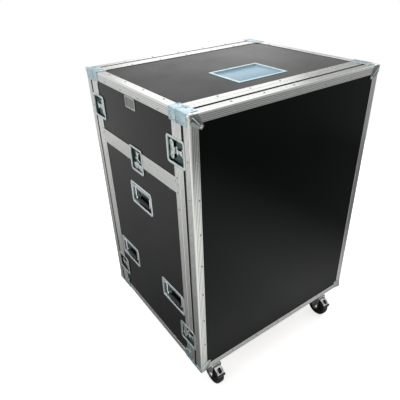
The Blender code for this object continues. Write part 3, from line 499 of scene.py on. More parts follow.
latch_places = {}
for side, sign, turn in SIDES:
    for end, way in ENDS:
        flip = Matrix() if sign == way else Matrix.Rotation(math.pi, 4, "X")
        for level, height, owner in (("high", LATCH_HIGH, "cover"), ("low", LATCH_LOW, "base")):
            latch_places[f"{side}_{end}_{level}"] = (owner, f"{end}_lid", Matrix.Translation(
                (sign * CASE_HALF.x, way * SEAM, height)) @ turn @ flip)
    latch_places[f"{side}_centre"] = ("base", "cover", Matrix.Translation(
        (sign * CASE_HALF.x, 0, SPLIT)) @ turn @ Matrix.Rotation(-math.pi / 2, 4, "X"))
pockets = bmesh.new()
pocket = Matrix.Translation((POCKET_MIDDLE, (LATCH_BODY - LATCH_STRIKE) / 2, 0)) @ Matrix.Diagonal(
    (POCKET_DEEP, LATCH_BODY + LATCH_STRIKE - 2 * LATCH_RIM, 2 * (LATCH_HALF - LATCH_RIM), 1.0))
for _, _, place in latch_places.values():
    bmesh.ops.create_cube(pockets, size=1.0, matrix=place @ pocket)
pockets = mesh_of(pockets)

# Grimy, shaded grooves: a mask that is 1 down in the grooves of a section on the case's outer faces, and
# 0 on the ribs and on the rounded long edges, worked out from the place alone. It darkens the grooves
# with grime and with painted shade.
groove_grime_and_shade, add, given = new_group("groove_grime_and_shade", [("Place", "Vector", None)], [("Mask", "Float")])
folded = add("VectorMath", {0: given["Place"]}, operation="ABSOLUTE").outputs[0]
depth = split_place(add, add("VectorMath", {0: (CASE_HALF.x, CASE_HALF.y, TOP), 1: folded},
                             operation="SUBTRACT").outputs[0])
height = maths(add, "SUBTRACT", split_place(add, given["Place"])["Z"], UNDERSIDE)
upright = maths(add, "MINIMUM", depth["Z"], height)
least = maths(add, "MINIMUM", depth["X"], depth["Y"])
most = maths(add, "MAXIMUM", depth["X"], depth["Y"])
second = maths(add, "MAXIMUM", least, maths(add, "MINIMUM", most, upright))
least = maths(add, "MINIMUM", least, upright)
off_the_edge = maths(add, "GREATER_THAN", second, EDGE_ROUND - GRIME_AND_SHADE_SPAN[0])
put_out(groove_grime_and_shade, Mask=maths(
    add, "MULTIPLY", ranged(add, least, span=GRIME_AND_SHADE_SPAN), off_the_edge))

# Brushed streaks: what drawing or rolling leaves along a metal section, with cloudy handling marks.
streaks, add, given = new_group(
    "streaks", [("Run", "Vector", None), ("Place", "Vector", None), ("Fineness", "Float", 1500.0)],
    [("Streak", "Float"), ("Cloud", "Float")])
thin = add("CombineXYZ", {"X": 5.0, "Y": given["Fineness"], "Z": 1.0})
run = add("VectorMath", {0: given["Run"], 1: thin.outputs[0]}, operation="MULTIPLY")
streak = add("TexNoise", {"Vector": run.outputs[0], "Scale": 1.0, "Detail": 3.0})
cloud = add("TexNoise", {"Vector": given["Place"], "Scale": 22.0, "Detail": 5.0, "Roughness": 0.6})
put_out(streaks, Streak=streak.outputs[0], Cloud=cloud.outputs[0])


def metal_finish(name, dark, light, rough, bump, tint=None, fineness=1500.0, by_run=False,
                 recess=None, grime_and_shade=None):
    """Bare or plated metal: streaks, clouded tint, smudged gloss, grimy grooves with painted shade; a
    recess gets painted shade, darkening to its colour between two depths."""
    finish, add = new_finish(name)
    coords = add("TexCoord").outputs
    marks = use_group(add, streaks, {"Run": coords["UV" if by_run else "Object"],
                                     "Place": coords["Object"], "Fineness": fineness})
    colour = blended(add, marks["Streak"], dark, light)
    if tint:
        colour = blended(add, ranged(add, marks["Cloud"], *TINT_RANGE), colour, tint)
    # Painted shade in a recess: the colour darkens towards the shade colour between two depths along
    # local X.
    if recess:
        shade, *span = recess
        depth = split_place(add, coords["Object"])["X"]
        colour = blended(add, ranged(add, depth, 0.0, RECESS_MOST, span), colour, shade)
    # Grime and painted shade: darker down in the grooves of the sections.
    if grime_and_shade:
        in_groove = use_group(add, groove_grime_and_shade, {"Place": coords["Object"]})["Mask"]
        colour = blended(add, ranged(add, in_groove, 0.0, GRIME_AND_SHADE_MOST), colour, grime_and_shade)
    smudge = maths(add, "MULTIPLY", marks["Streak"], marks["Cloud"])
    surfaced(add, Base_Color=colour, Metallic=1.0, Roughness=ranged(add, smudge, *rough, SMUDGE_SPAN),
             Normal=bumped(add, marks["Streak"], bump, STREAK_RELIEF))
    return finish


aluminium = metal_finish("extruded_aluminium", ALUMINIUM_DARK, ALUMINIUM_LIGHT, (0.12, 0.30), 0.4,
                         by_run=True, grime_and_shade=GROOVE_GRIME_AND_SHADE)
for end_name, end in ENDS:
    section = [(depth, end * (CASE_HALF.y - inward)) for depth, inward in edge_angle(FACE_LEG, SIDE_LEG)]
    edges = led_round(section, (UNDERSIDE, TOP, TOP, UNDERSIDE), closed=True)
    section = [(depth, end * (SEAM + SEAM_FIT - along)) for depth, along in seam_channel(LID_LEG, True)]
    channel = led_round(section, (UNDERSIDE, TOP, TOP, UNDERSIDE), closed=True)
    piece(f"{end_name}_lid_sections", gathered(carved(edges, pockets), carved(channel, pockets)),
          aluminium, f"{end_name}_lid", replaces=[f"{end_name}_lid_frame"])
reach = SEAM - SEAM_FIT - BODY_LEG
for body, level, up, band_end, lipped in (("base", UNDERSIDE, 1, SPLIT - SEAM_FIT, True),
                                          ("cover", TOP, -1, SPLIT + SEAM_FIT, False)):
    runs = []
    for _, end in ENDS:
        section = [(depth, end * (SEAM - SEAM_FIT + along))
                   for depth, along in seam_channel(BODY_LEG, False)]
        runs.append(carved(led_round(section, (band_end, level, level, band_end)), pockets))
    for side in (-1, 1):
        angle = [(a, level + up * b) for a, b in edge_angle(LONG_LEG, LONG_LEG)]
        band = [(depth, band_end + up * along) for depth, along in seam_channel(BAND_LEG, lipped)]
        runs += [long_run(angle, side, reach), carved(long_run(band, side, reach), pockets)]
    piece(f"{body}_sections", gathered(*runs), aluminium, body,
          replaces=[f"{body}_frame"])


# Rivets and screws. Steel blind rivets with domed, dimpled heads fix every section through the
# boards at an even pitch, and small screws hold the side boards below the band.
RIVET_PITCH, RIVET_FIRST, COLUMN_RIVETS, BASE_COLUMN_RIVETS = 0.141, 0.3324, 7, 5
FACE_RIVETS_IN, TOP_RIVETS_IN, LONG_RIVETS_IN = 0.0245, 0.022, 0.026
LEG_RIVETS, CHANNEL_RIVETS = 0.3744, 0.3045
BASE_SPLIT_RIVETS = ((0.303, 1.037),)
COVER_SPLIT_RIVETS = ((0.3045, 1.094), (0.306, 1.069), (0.293, 1.0785))
SCREW_LEVEL, SCREWS_OUT = 1.025, (0.0847, 0.246)


def turned(profile, segments=24, place=Matrix()):
    """Mesh turned about local X from (along, radius) points."""
    shape = bmesh.new()
    verts = [shape.verts.new((along, radius, 0)) for along, radius in profile]
    edges = [shape.edges.new(pair) for pair in zip(verts, verts[1:])]
    bmesh.ops.spin(shape, geom=verts + edges, axis=(1, 0, 0), cent=(0, 0, 0),
                   angle=2 * math.pi, steps=segments, use_merge=True)
    bmesh.ops.remove_doubles(shape, verts=shape.verts, dist=1e-6)
    bmesh.ops.transform(shape, matrix=place, verts=shape.verts)
    return mesh_of(shape)


def facing(point, inward):
    """Place on a face, with local +X leading into it."""
    spin = Vector((1, 0, 0)).rotation_difference(Vector(inward))
    return Matrix.Translation(point) @ spin.to_matrix().to_4x4()


def on_side(side, y, z, proud=0.0):
    """Place on a side face of the case."""
    return facing((side * (CASE_HALF.x + proud), y, z), (-side, 0, 0))


def on_level(level, x, y, proud=0.0):
    """Place on the top or the underside of the case."""
    up = dict(LEVELS)[level]
    return facing((x, y, level - up * proud), (0, 0, up))


def domed_head(radius, height):
    """Domed rivet head with the dimple that its mandrel leaves."""
    dome = [(-height * math.sin(t), radius * math.cos(t)) for t in (0.0, 0.35, 0.7, 1.05)]
    dimple = [(-height, 0.3 * radius), (-0.6 * height, 0.24 * radius), (-0.6 * height, 0)]
    return turned([(0, 0), (0, radius)] + dome + dimple, 14)


rivet_steel = metal_finish("rivet_steel", (0.28, 0.285, 0.285), (0.50, 0.51, 0.51), (0.16, 0.34), 0.1)
rivet = domed_head(0.0044, 0.0019)
columns = [RIVET_FIRST + RIVET_PITCH * k for k in range(COLUMN_RIVETS)]
rows = [RIVET_PITCH * k for k in (-2, -1, 0, 1, 2)]
quarters = [RIVET_PITCH * k for k in (-1.5, -0.5, 0.5, 1.5)]
body_spots = {"base": [], "cover": []}
for end_name, end in ENDS:
    into = (0, -end, 0)
    spots = []
    for side in (-1, 1):
        spots += [facing((side * (CASE_HALF.x - FACE_RIVETS_IN), end * CASE_HALF.y, z), into)
                  for z in columns]
        spots += [on_side(side, end * LEG_RIVETS, z) for z in columns]
        body_spots["base"] += [on_side(side, end * CHANNEL_RIVETS, z + RIVET_PITCH / 2)
                               for z in columns[:BASE_COLUMN_RIVETS]]
        body_spots["base"] += [on_side(side, end * y, z) for y, z in BASE_SPLIT_RIVETS]
        body_spots["cover"] += [on_side(side, end * y, z) for y, z in COVER_SPLIT_RIVETS]
    for (level, up), body in zip(LEVELS, ("cover", "base")):
        spots += [facing((x, end * CASE_HALF.y, level + up * TOP_RIVETS_IN), into) for x in rows]
        spots += [on_level(level, x, end * LEG_RIVETS) for x in rows]
        body_spots[body] += [on_level(level, x, end * CHANNEL_RIVETS) for x in rows]
    piece(f"{end_name}_lid_rivets", gathered((rivet, spots)), rivet_steel, f"{end_name}_lid")
for side in (-1, 1):
    for (level, up), body in zip(LEVELS, ("cover", "base")):
        body_spots[body] += [on_side(side, y, level + up * LONG_RIVETS_IN) for y in quarters]
        body_spots[body] += [on_level(level, side * (CASE_HALF.x - LONG_RIVETS_IN), y)
                             for y in quarters]
for body, spots in body_spots.items():
    piece(f"{body}_rivets", gathered((rivet, spots)), rivet_steel, body)
screw_spots = [on_side(side, way * y, SCREW_LEVEL, -BOARD_INSET)
               for side in (-1, 1) for way in (-1, 1) for y in SCREWS_OUT]
piece("board_screws", gathered((domed_head(0.0026, 0.0016), screw_spots)), rivet_steel, "base")


# Corners. Each outer corner of a lid has a steel ball corner, bright at the top and zinc plated at
# the bottom, with a folded leaf riveted across the face; blue zinc plates are bent round the long
# edges on both sides of the seams.
CAP_PROUD, CAP_REACH, CAP_ROUND = 0.0016, 0.0165, 0.0022
BALL_RADIUS, BALL_IN = 0.0122, 0.0088
LEAF_END, LEAF_HALF, LEAF_ROOT = Vector((0.0425, 0.0445)), 0.0095, 0.031
LEAF_START, LEAF_WAIST, LEAF_CLEAR = 0.012, 0.036, 0.0012
LEAF_PROUD, BOSS_PROUD, TIP_PROUD = 0.0010, 0.0024, 0.0022
LEAF_HEEL, CREST = 0.004, Vector((-0.0052, 0.007, 0.007))
NECK_LOWER, NECK_ALONG = 0.72, 1.15
FOLD_END, FOLD_LENGTH = -0.0026, 0.86
PLATE_PROUD, PLATE_LEG, LOW_PLATE_LEG, BASE_PLATE_LEG = 0.0014, 0.043, 0.016, 0.060
PLATE_GAP, PLATE_REACH, PLATE_ROUND = 0.0006, 0.0415, (0.0, 0.8, 1.57)
LID_HEADS, BODY_HEADS = (0.333, 0.367), (0.311, 0.288)
LID_HEADS_IN, BODY_HEADS_IN, HEAD_SHARE, HEADS_FROM_ENDS = 0.031, 0.033, 0.72, (0.012, 0.009)
FACE_GAP = 0.0001


def ring(a, b, radius, count=14):
    """Points of a round hole."""
    return arc(a, b, radius, radius, [2 * math.pi * i / count for i in range(count)])


def stamped(outlines, thick, edge=0.0004):
    """Sheet in the local Y-Z plane, about X = 0: the first outline, with the others as holes."""
    curve = bpy.data.curves.new("stamping", "CURVE")
    curve.dimensions = "2D"
    curve.fill_mode = "BOTH"
    curve.extrude = thick / 2 - edge
    curve.bevel_depth = edge
    curve.bevel_resolution = 1
    curve.offset = -edge
    for outline in outlines:
        spline = curve.splines.new("POLY")
        spline.points.add(len(outline) - 1)
        for point, (a, b) in zip(spline.points, outline):
            point.co = (a, b, 0, 1)
        spline.use_cyclic_u = True
    shape = bmesh.new()
    shape.from_mesh(worked(curve))
    bmesh.ops.remove_doubles(shape, verts=shape.verts, dist=1e-6)
    for vert in shape.verts:
        vert.co = (vert.co.z, vert.co.x, vert.co.y)
    return mesh_of(shape)


def block(low, high, round_by=0.0, segments=2):
    """Box between two corners, with rounded edges."""
    shape = bmesh.new()
    low, high = Vector(low), Vector(high)
    bmesh.ops.create_cube(shape, size=1.0, matrix=Matrix.Translation((low + high) / 2)
                          @ Matrix.Diagonal((*(high - low), 1.0)))
    if round_by:
        bmesh.ops.bevel(shape, geom=shape.edges[:], offset=round_by, segments=segments,
                        affect="EDGES", profile=0.5)
    return mesh_of(shape)


def leaf_shape():
    """Leaf across the face: a roof with its ridge from the ball to a rounded tip."""
    along = LEAF_END.normalized()
    across = Vector((-along.y, along.x))
    root, waist = along * LEAF_START, along * LEAF_WAIST
    turns = [math.radians(degrees) for degrees in range(-90, 91, 20)]
    tip = [LEAF_END + LEAF_HALF * (along * math.cos(t) + across * math.sin(t)) for t in turns]
    edge = [root - across * LEAF_ROOT, waist - across * 2 * LEAF_HALF, *tip,
            waist + across * 2 * LEAF_HALF, root + across * LEAF_ROOT]
    edge = [Vector((max(p.x, LEAF_CLEAR), max(p.y, LEAF_CLEAR))) for p in edge]
    shape = bmesh.new()
    heel = shape.verts.new((FACE_GAP, LEAF_HEEL, LEAF_HEEL))
    foot = [shape.verts.new((FACE_GAP, *p)) for p in edge]
    rim = [shape.verts.new((-LEAF_PROUD, *p)) for p in edge]
    crest = shape.verts.new(CREST)
    neck = shape.verts.new((CREST.x * NECK_LOWER, *(waist * NECK_ALONG)))
    boss = shape.verts.new((-BOSS_PROUD, *LEAF_END))
    start = shape.verts.new((-LEAF_PROUD, LEAF_CLEAR, LEAF_CLEAR))
    faces = [(foot[i], foot[i + 1], rim[i + 1], rim[i]) for i in range(len(edge) - 1)]
    faces += [(crest, start, rim[0]), (crest, rim[0], rim[1], neck), (neck, rim[1], rim[2], boss)]
    faces += [(boss, rim[i], rim[i + 1]) for i in range(2, len(edge) - 3)]
    faces += [(neck, boss, rim[-3], rim[-2]), (crest, neck, rim[-2], rim[-1]),
              (crest, rim[-1], start), (heel, foot[0], rim[0], start),
              (heel, start, rim[-1], foot[-1]), [heel] + foot[::-1]]
    for face in faces:
        shape.faces.new(face)
    return softened(mesh_of(shape), 0.0005, angle_limit=0.35)


def bent_plate(side, level, up, start, stop, side_leg, level_leg):
    """Plate along a long edge of the case, from start to stop, bent over the edge or flat."""
    outline = [(-PLATE_PROUD, side_leg), (-PLATE_PROUD, 0.0015)]
    if level_leg:
        outline += arc(0, 0, -PLATE_PROUD, -PLATE_PROUD, PLATE_ROUND)
        outline += [(level_leg, -PLATE_PROUD), (level_leg, FACE_GAP)]
    outline += [(FACE_GAP, FACE_GAP), (FACE_GAP, side_leg)]
    return softened(extruded([[Vector((side * (CASE_HALF.x - a), y, level + up * b))
                               for a, b in outline] for y in (start, stop)]), 0.0005)


ball = bmesh.new()
bmesh.ops.create_uvsphere(ball, u_segments=28, v_segments=18, radius=BALL_RADIUS,
                          matrix=Matrix.Translation((BALL_IN,) * 3))
cap = block((-CAP_PROUD,) * 3, (CAP_REACH,) * 3, CAP_ROUND, 3)
cap = carved(carved(cap, mesh_of(ball), "UNION"), block((FACE_GAP,) * 3, (0.08,) * 3))
# A thin bright bead along the leaf's fold, in the ball's chrome: a painted highlight on the fold.
fold = Vector((FOLD_END, *LEAF_END)) - CREST
fold_highlight_end = FOLD_LENGTH * fold.length
fold_highlight = turned([(0, 0), (0, 0.0020), (0.7 * fold.length, 0.0015), (fold_highlight_end, 0.0008), (fold_highlight_end, 0)],
              12, facing(CREST, fold))
tip_rivet = (domed_head(0.0056, TIP_PROUD), [Matrix.Translation((-TIP_PROUD, *LEAF_END))])
ball_end = gathered(cap, fold_highlight, tip_rivet)
leaf = leaf_shape()
ball_chrome = metal_finish("ball_chrome", (0.42, 0.44, 0.44), (0.74, 0.76, 0.76), (0.05, 0.18), 0.1)
# A darkened copy of the ball corner's chrome for the leaves: painted shade.
shaded_leaf_chrome = metal_finish("shaded_leaf_chrome", (0.10, 0.115, 0.11), (0.30, 0.325, 0.315),
                             (0.04, 0.16), 0.15)
blue_zinc = metal_finish("blue_zinc", (0.34, 0.43, 0.46), (0.52, 0.62, 0.65), (0.18, 0.38), 0.15,
                         (0.28, 0.43, 0.49))
bottom_zinc = metal_finish("bottom_zinc", (0.36, 0.41, 0.405), (0.56, 0.62, 0.61), (0.20, 0.40), 0.2,
                           (0.31, 0.38, 0.38))
for end_name, end in ENDS:
    lid = f"{end_name}_lid"
    caps, plates, heads = {TOP: [], UNDERSIDE: []}, [], []
    for side in (-1, 1):
        for level, up in LEVELS:
            axes = Matrix(((0, -side, 0), (-end, 0, 0), (0, 0, up))).to_4x4()
            caps[level].append(
                Matrix.Translation((side * CASE_HALF.x, end * CASE_HALF.y, level)) @ axes)
            leg = PLATE_LEG if level == TOP else LOW_PLATE_LEG
            plates.append(bent_plate(side, level, up, end * (SEAM + PLATE_GAP),
                                     end * (CASE_HALF.y - CAP_REACH), leg, PLATE_LEG))
            heads += [on_side(side, end * y, level + up * leg * HEAD_SHARE, PLATE_PROUD)
                      for y in LID_HEADS]
            heads += [on_level(level, side * (CASE_HALF.x - LID_HEADS_IN), end * y, PLATE_PROUD)
                      for y in LID_HEADS]
    piece(f"{end_name}_corner_balls", gathered((ball_end, caps[TOP])), ball_chrome, lid, 40)
    piece(f"{end_name}_corner_leaves", gathered((leaf, caps[TOP])), shaded_leaf_chrome, lid, 40)
    piece(f"{end_name}_bottom_corners", gathered((ball_end, caps[UNDERSIDE]), (leaf, caps[UNDERSIDE])),
          bottom_zinc, lid, 40)
    piece(f"{end_name}_lid_plates", gathered(*plates, (rivet, heads)), blue_zinc, lid)
for body, (level, up), leg, level_leg in (("cover", LEVELS[0], PLATE_LEG, PLATE_LEG),
                                          ("base", LEVELS[1], BASE_PLATE_LEG, 0.0)):
    plates, heads = [], []
    for side in (-1, 1):
        for _, end in ENDS:
            plates.append(bent_plate(side, level, up, end * (SEAM - PLATE_GAP),
                                     end * (SEAM - PLATE_REACH), leg, level_leg))
            heads += [on_side(side, end * y, level + up * z, PLATE_PROUD)
                      for y in BODY_HEADS for z in (HEADS_FROM_ENDS[0], leg - HEADS_FROM_ENDS[1])]
            if level_leg:
                heads += [on_level(level, side * (CASE_HALF.x - BODY_HEADS_IN), end * y, PLATE_PROUD)
                          for y in BODY_HEADS]
    piece(f"{body}_corner_plates", gathered(*plates, (rivet, heads)), blue_zinc, body)


# Latches. Each has a zinc plated dish pressed in two halves, one on each side of the seam; a
# post with a hook is riveted into one, a keeper into the other, and the butterfly turns the hook.
LATCH_ROUND, LATCH_RIM_OUT, LATCH_FLOOR = 0.014, -0.0015, 0.0106
LATCH_RIVETS_OUT, WALL_SLANT = 0.0487, 0.0003
POST_ALONG = 0.028
HINGE = (0.005, POST_ALONG)
HOOK_DEPTH, HOOK_THICK, HOOK_EDGE = 0.0068, 0.0034, 0.0008
ROLLER_PLACE = (0.0040, 0.0070, 0)
SEAM_GAP = 0.0005
QUARTER = [math.radians(t) for t in (0, 30, 60, 90)]
WING_ARC = [math.radians(t) for t in range(214, -56, -18)]


def rounded(low, high, radius, steps=6):
    """Points of a rectangle with rounded corners, anticlockwise from its low corner."""
    points = []
    for i in range(4):
        a = high[0] - radius if i in (1, 2) else low[0] + radius
        b = high[1] - radius if i in (2, 3) else low[1] + radius
        turns = [math.radians(180 + 90 * (i + step / steps)) for step in range(steps + 1)]
        points += arc(a, b, radius, radius, turns)
    return points


def centred(half, radius, steps=6):
    """Points of a rectangle with rounded corners about the middle."""
    return rounded((-half[0], -half[1]), half, radius, steps)


def both_ways(half, mirror=(-1, 1)):
    """A symmetrical outline: its half, which may start on the middle line, after its mirror image."""
    other = [(a * mirror[0], b * mirror[1]) for a, b in reversed(half)]
    return other + (half[1:] if other[-1] == half[0] else half)


def at_depth(depth, spots):
    """Places at one depth in a wall, from (y, z) points."""
    return [Matrix.Translation((depth, y, z)) for y, z in spots]


def pressed_profile(back, top, rim, floor, fillet, bend=0.0014):
    """(inset, depth) across a dish: rolled edge, flat rim, bend, wall and floor."""
    edge = back - top
    points = arc(edge, back, -edge, -edge, QUARTER)
    points += arc(rim - bend, top + bend, bend, bend, [t - math.pi / 2 for t in QUARTER])
    return points + arc(rim + WALL_SLANT + fillet, floor - fillet, -fillet, fillet, QUARTER)


def pressed_dish(low, high, radius, profile, keep=None, gauge=0.001):
    """Dish pressed from sheet; keep is the side of the seam to keep, if it is split there."""
    shape = bmesh.new()
    loops = []
    for inset, depth in profile:
        outline = rounded((low[0] + inset, low[1] + inset), (high[0] - inset, high[1] - inset),
                          max(radius - inset, 0.002))
        loops.append([shape.verts.new((depth, a, b)) for a, b in outline])
    for outer, inner in zip(loops, loops[1:]):
        for i in range(len(outer)):
            after = (i + 1) % len(outer)
            shape.faces.new((outer[i], inner[i], inner[after], outer[after]))
    shape.faces.new(loops[-1][::-1])
    if keep:
        bmesh.ops.bisect_plane(shape, geom=shape.verts[:] + shape.edges[:] + shape.faces[:],
                               plane_co=(0, keep * SEAM_GAP, 0), plane_no=(0, keep, 0),
                               clear_inner=True)
    return worked(mesh_of(shape, outward=False),
                  solidify={"thickness": gauge, "offset": -1.0, "use_even_offset": True})


small_rivet = domed_head(0.0022, 0.0009)
latch_profile = pressed_profile(-SEAM_FIT, LATCH_RIM_OUT, 0.0100, LATCH_FLOOR, 0.0014)
latch_ends = ((-LATCH_STRIKE, -LATCH_HALF), (LATCH_BODY, LATCH_HALF))
dish_rivets = at_depth(LATCH_RIM_OUT, [
    (y, way * z) for y, z in ((0.012, LATCH_RIVETS_OUT), (0.052, LATCH_RIVETS_OUT), (0.0667, 0.028))
    for way in (1, -1)])
strike_rivets = at_depth(LATCH_RIM_OUT, [
    (y, way * z) for y, z in ((-0.024, LATCH_RIVETS_OUT), (-0.0382, 0.024)) for way in (1, -1)])
latch_dish = gathered(pressed_dish(*latch_ends, LATCH_ROUND, latch_profile, 1),
                      (small_rivet, dish_rivets))
latch_strike = gathered(pressed_dish(*latch_ends, LATCH_ROUND, latch_profile, -1),
                        (small_rivet, strike_rivets))
to_z = Matrix.Rotation(-math.pi / 2, 4, "Y")
hinge_place = Matrix.Translation((*HINGE, 0))
post = turned([(LATCH_FLOOR, 0), (LATCH_FLOOR, 0.013), (0.0099, 0.013), (0.0094, 0.0124),
               (0.0094, 0.0112), (0.0085, 0.0108), (0.0081, 0.0100), (0.0081, 0.0042),
               (0.0086, 0.0036), (0.0086, 0)], 32, Matrix.Translation((0, POST_ALONG, 0)))
post_ear = arc(POST_ALONG, HINGE[0], 0.0030, -0.0030, (0.0, 0.5, 1.0, 1.57, 2.1, 2.6, math.pi))
post_ear += [(POST_ALONG - 0.0052, 0.0104), (POST_ALONG + 0.0052, 0.0104)]
post_ears = [Matrix.Translation((0, 0, side * 0.0092)) @ Matrix.Rotation(math.pi / 2, 4, "Y")
             for side in (-1, 1)]
pin = turned(both_ways([(0.0106, 0.0012), (0.0106, 0.0020), (0.0118, 0.0020), (0.0122, 0.0016),
                        (0.0122, 0)]), 14, hinge_place @ to_z)
arm = stamped([both_ways([(0.0185, 0.0078), (0.0120, 0.0084), (0.0065, 0.0070),
                          (SEAM_GAP, 0.0064)], (1, -1))], HOOK_THICK, HOOK_EDGE)
roller = turned(both_ways([(0.0026, 0.0026), (0.0030, 0.0030), (0.0086, 0.0030), (0.0092, 0.0024),
                           (0.0092, 0)]), 18, Matrix.Translation(ROLLER_PLACE) @ to_z)
hook = gathered(post, (stamped([post_ear], 0.0024), post_ears), pin,
                (arm, at_depth(HOOK_DEPTH, [(0, 0)])), roller)
claw = both_ways([(-0.0180, 0.0), (-0.0176, -0.0050), (-0.0160, -0.0088), (-0.0125, -0.0096),
                  (-0.0070, -0.0072), (-SEAM_GAP, -0.0064)], (1, -1))
claw = stamped([claw, ring(-0.0110, 0, 0.0026)], HOOK_THICK, HOOK_EDGE)
bar = block((0.0072, -0.0175, -0.0150), (LATCH_FLOOR, -0.0130, 0.0150), 0.0009)
keeper = gathered((claw, at_depth(HOOK_DEPTH, [(0, 0)])), bar,
                  (small_rivet, at_depth(LATCH_FLOOR, [(-0.0270, -0.020), (-0.0270, 0.020)])))
wing = [(0.0, 0.0077), (0.0030, 0.0077)]
wing += arc(0.0165, 0.0205, 0.0136, 0.0152, WING_ARC) + [(0.0245, 0.0035)]
wing_holes = [ring(y, z, 0.0024) for y, z in ((0.0185, 0.0225), (0.0185, -0.0225), (0.0175, 0))]
wing = stamped([both_ways(wing, (1, -1)), *wing_holes], 0.0020, 0.0005)
knuckle = turned(both_ways([(0.0071, 0.0027), (0.0076, 0.0022), (0.0076, 0)]), 16, to_z)
butterfly = gathered(wing, knuckle)
# The latch dishes get painted shade, darker deeper into the dish.
dished_zinc = metal_finish("dished_zinc", (0.44, 0.50, 0.485), (0.66, 0.72, 0.70), (0.20, 0.40), 0.2,
                           (0.40, 0.48, 0.47), recess=((0.016, 0.040, 0.042), 0.0008, 0.0050))
wing_zinc = metal_finish("wing_zinc", (0.46, 0.50, 0.49), (0.70, 0.74, 0.73), (0.16, 0.36), 0.2,
                         (0.42, 0.48, 0.47))
bright_steel = metal_finish("bright_steel", (0.52, 0.54, 0.55), (0.80, 0.81, 0.82), (0.10, 0.26), 0.1)
for name, (owner, far, place) in latch_places.items():
    piece(f"latch_dish_half_{name}", latch_dish, dished_zinc, owner,
          replaces=[f"latch_dish_{name}"], place=place)
    piece(f"latch_strike_half_{name}", latch_strike, dished_zinc, far, place=place)
    piece(f"latch_hook_{name}", hook, bright_steel, owner, place=place)
    piece(f"latch_keeper_{name}", keeper, bright_steel, far, place=place)
    piece(f"latch_wing_{name}", butterfly, wing_zinc, f"butterfly_{name}",
          replaces=[f"butterfly_{name}"], place=place @ hinge_place)


# Handles. Zinc plated dishes are riveted into the side boards, each with a steel bail that
# turns in two pairs of ears, a coil spring that folds it back, and a ribbed rubber grip.
HANDLE_HALF, HANDLE_ROUND, HANDLE_FLOOR = (0.089, 0.054), 0.014, 0.018
HANDLE_CLEAR, HANDLE_LEVEL = 0.0037, UNDERSIDE + 0.303
HANDLE_OUT = SEAM - BODY_LEG - HANDLE_CLEAR - HANDLE_HALF[0]
HANDLE_SPOTS = (("centre", 0, SPLIT - 0.190), ("front", -HANDLE_OUT, HANDLE_LEVEL),
                ("rear", HANDLE_OUT, HANDLE_LEVEL))
RIM_OUT, SLOPE_HALF = 0.0008, 0.0545
PIVOT = (0.0095, 0.028)
EAR_RADIUS, EAR_FOOT, EAR_THICK, EARS_OUT = 0.0075, 0.0095, 0.0020, (0.0667, 0.0762)
COIL_RADIUS, COIL_WIRE, COIL_START, COIL_PITCH = 0.0058, 0.0007, 0.0688, 0.00034
BAIL_HALF, BAIL_DROP, BAIL_ROD, BAIL_BEND, BAIL_SHOULDER = 0.060, 0.054, 0.004, 0.014, 0.005
PIN_END = 0.074
GRIP_HALF, GRIP_RADIUS, GRIP_OVAL, GRIP_RIBS = 0.045, 0.0075, 1.35, 11
GRIP_RIB = ((-0.0020, 0), (-0.0008, 0.0009), (0.0008, 0.0009), (0.0020, 0))
MOULDED_CLOUD, MOULDED_WEAR, MOULDED_RELIEF = 45.0, (-0.3, 1.3), 0.0003


def bent_rod(points, radius, sides=5):
    """Round rod along a list of points."""
    curve = bpy.data.curves.new("rod", "CURVE")
    curve.dimensions = "3D"
    curve.bevel_depth = radius
    curve.bevel_resolution = sides
    curve.use_fill_caps = True
    spline = curve.splines.new("POLY")
    spline.points.add(len(points) - 1)
    for point, place in zip(spline.points, points):
        point.co = (*place, 1)
    return worked(curve)


def moulded_finish(name, dark, light, rough, grain_scale, bump, specular):
    """Rubber, plastic or powder paint: fine grain and cloudy wear over a plain colour."""
    finish, add = new_finish(name)
    place = add("TexCoord").outputs["Object"]
    grain = use_group(add, speckle, {"Vector": place, "Grain Scale": grain_scale,
                                     "Cloud Scale": MOULDED_CLOUD})
    wear = ranged(add, grain["Cloud"], *MOULDED_WEAR)
    surfaced(add, Base_Color=blended(add, wear, dark, light),
             Roughness=ranged(add, grain["Cloud"], *rough), Specular_IOR_Level=specular,
             Normal=bumped(add, grain["Grain"], bump, MOULDED_RELIEF))
    return finish


handle_dish = pressed_dish((-HANDLE_HALF[0], -HANDLE_HALF[1]), HANDLE_HALF, HANDLE_ROUND,
                           pressed_profile(0.0020, RIM_OUT, 0.0108, HANDLE_FLOOR, 0.004))
rim_rivets = [(y, z) for z in (-0.0492, 0.0492) for y in (-0.078, 0.0, 0.078)]
rim_rivets += [(y, z) for y in (-0.0842, 0.0842) for z in (-0.02, 0.02)]
handle_dish = gathered(handle_dish, (small_rivet, at_depth(RIM_OUT, rim_rivets)))
slope_line = [(0.0018, 0.0440), (0.0032, 0.0418), (HANDLE_FLOOR - 0.0012, 0.0065),
              (HANDLE_FLOOR - 0.0002, 0.0045), (HANDLE_FLOOR - 0.0002, 0.0440)]
slope = softened(extruded([[Vector((depth, y, z)) for depth, z in slope_line]
                           for y in (-SLOPE_HALF, SLOPE_HALF)]), 0.0008)
ear_line = arc(PIVOT[1], PIVOT[0], EAR_RADIUS, -EAR_RADIUS,
               (0.0, 0.4, 0.8, 1.2, 1.57, 1.95, 2.35, 2.75, math.pi))
ear_line += [(PIVOT[1] + way * EAR_FOOT, HANDLE_FLOOR - 0.0003) for way in (-1, 1)]
bail_ear = stamped([ear_line, ring(PIVOT[1], PIVOT[0], BAIL_ROD + 0.0005)], EAR_THICK)
bail_ear.transform(Matrix(((0, 0, 1), (1, 0, 0), (0, 1, 0))).to_4x4())
bail_ears = at_depth(0, [(side * y, 0) for side in (-1, 1) for y in EARS_OUT])
coil = arc(*PIVOT, COIL_RADIUS, COIL_RADIUS, [0.5 * i for i in range(15)])
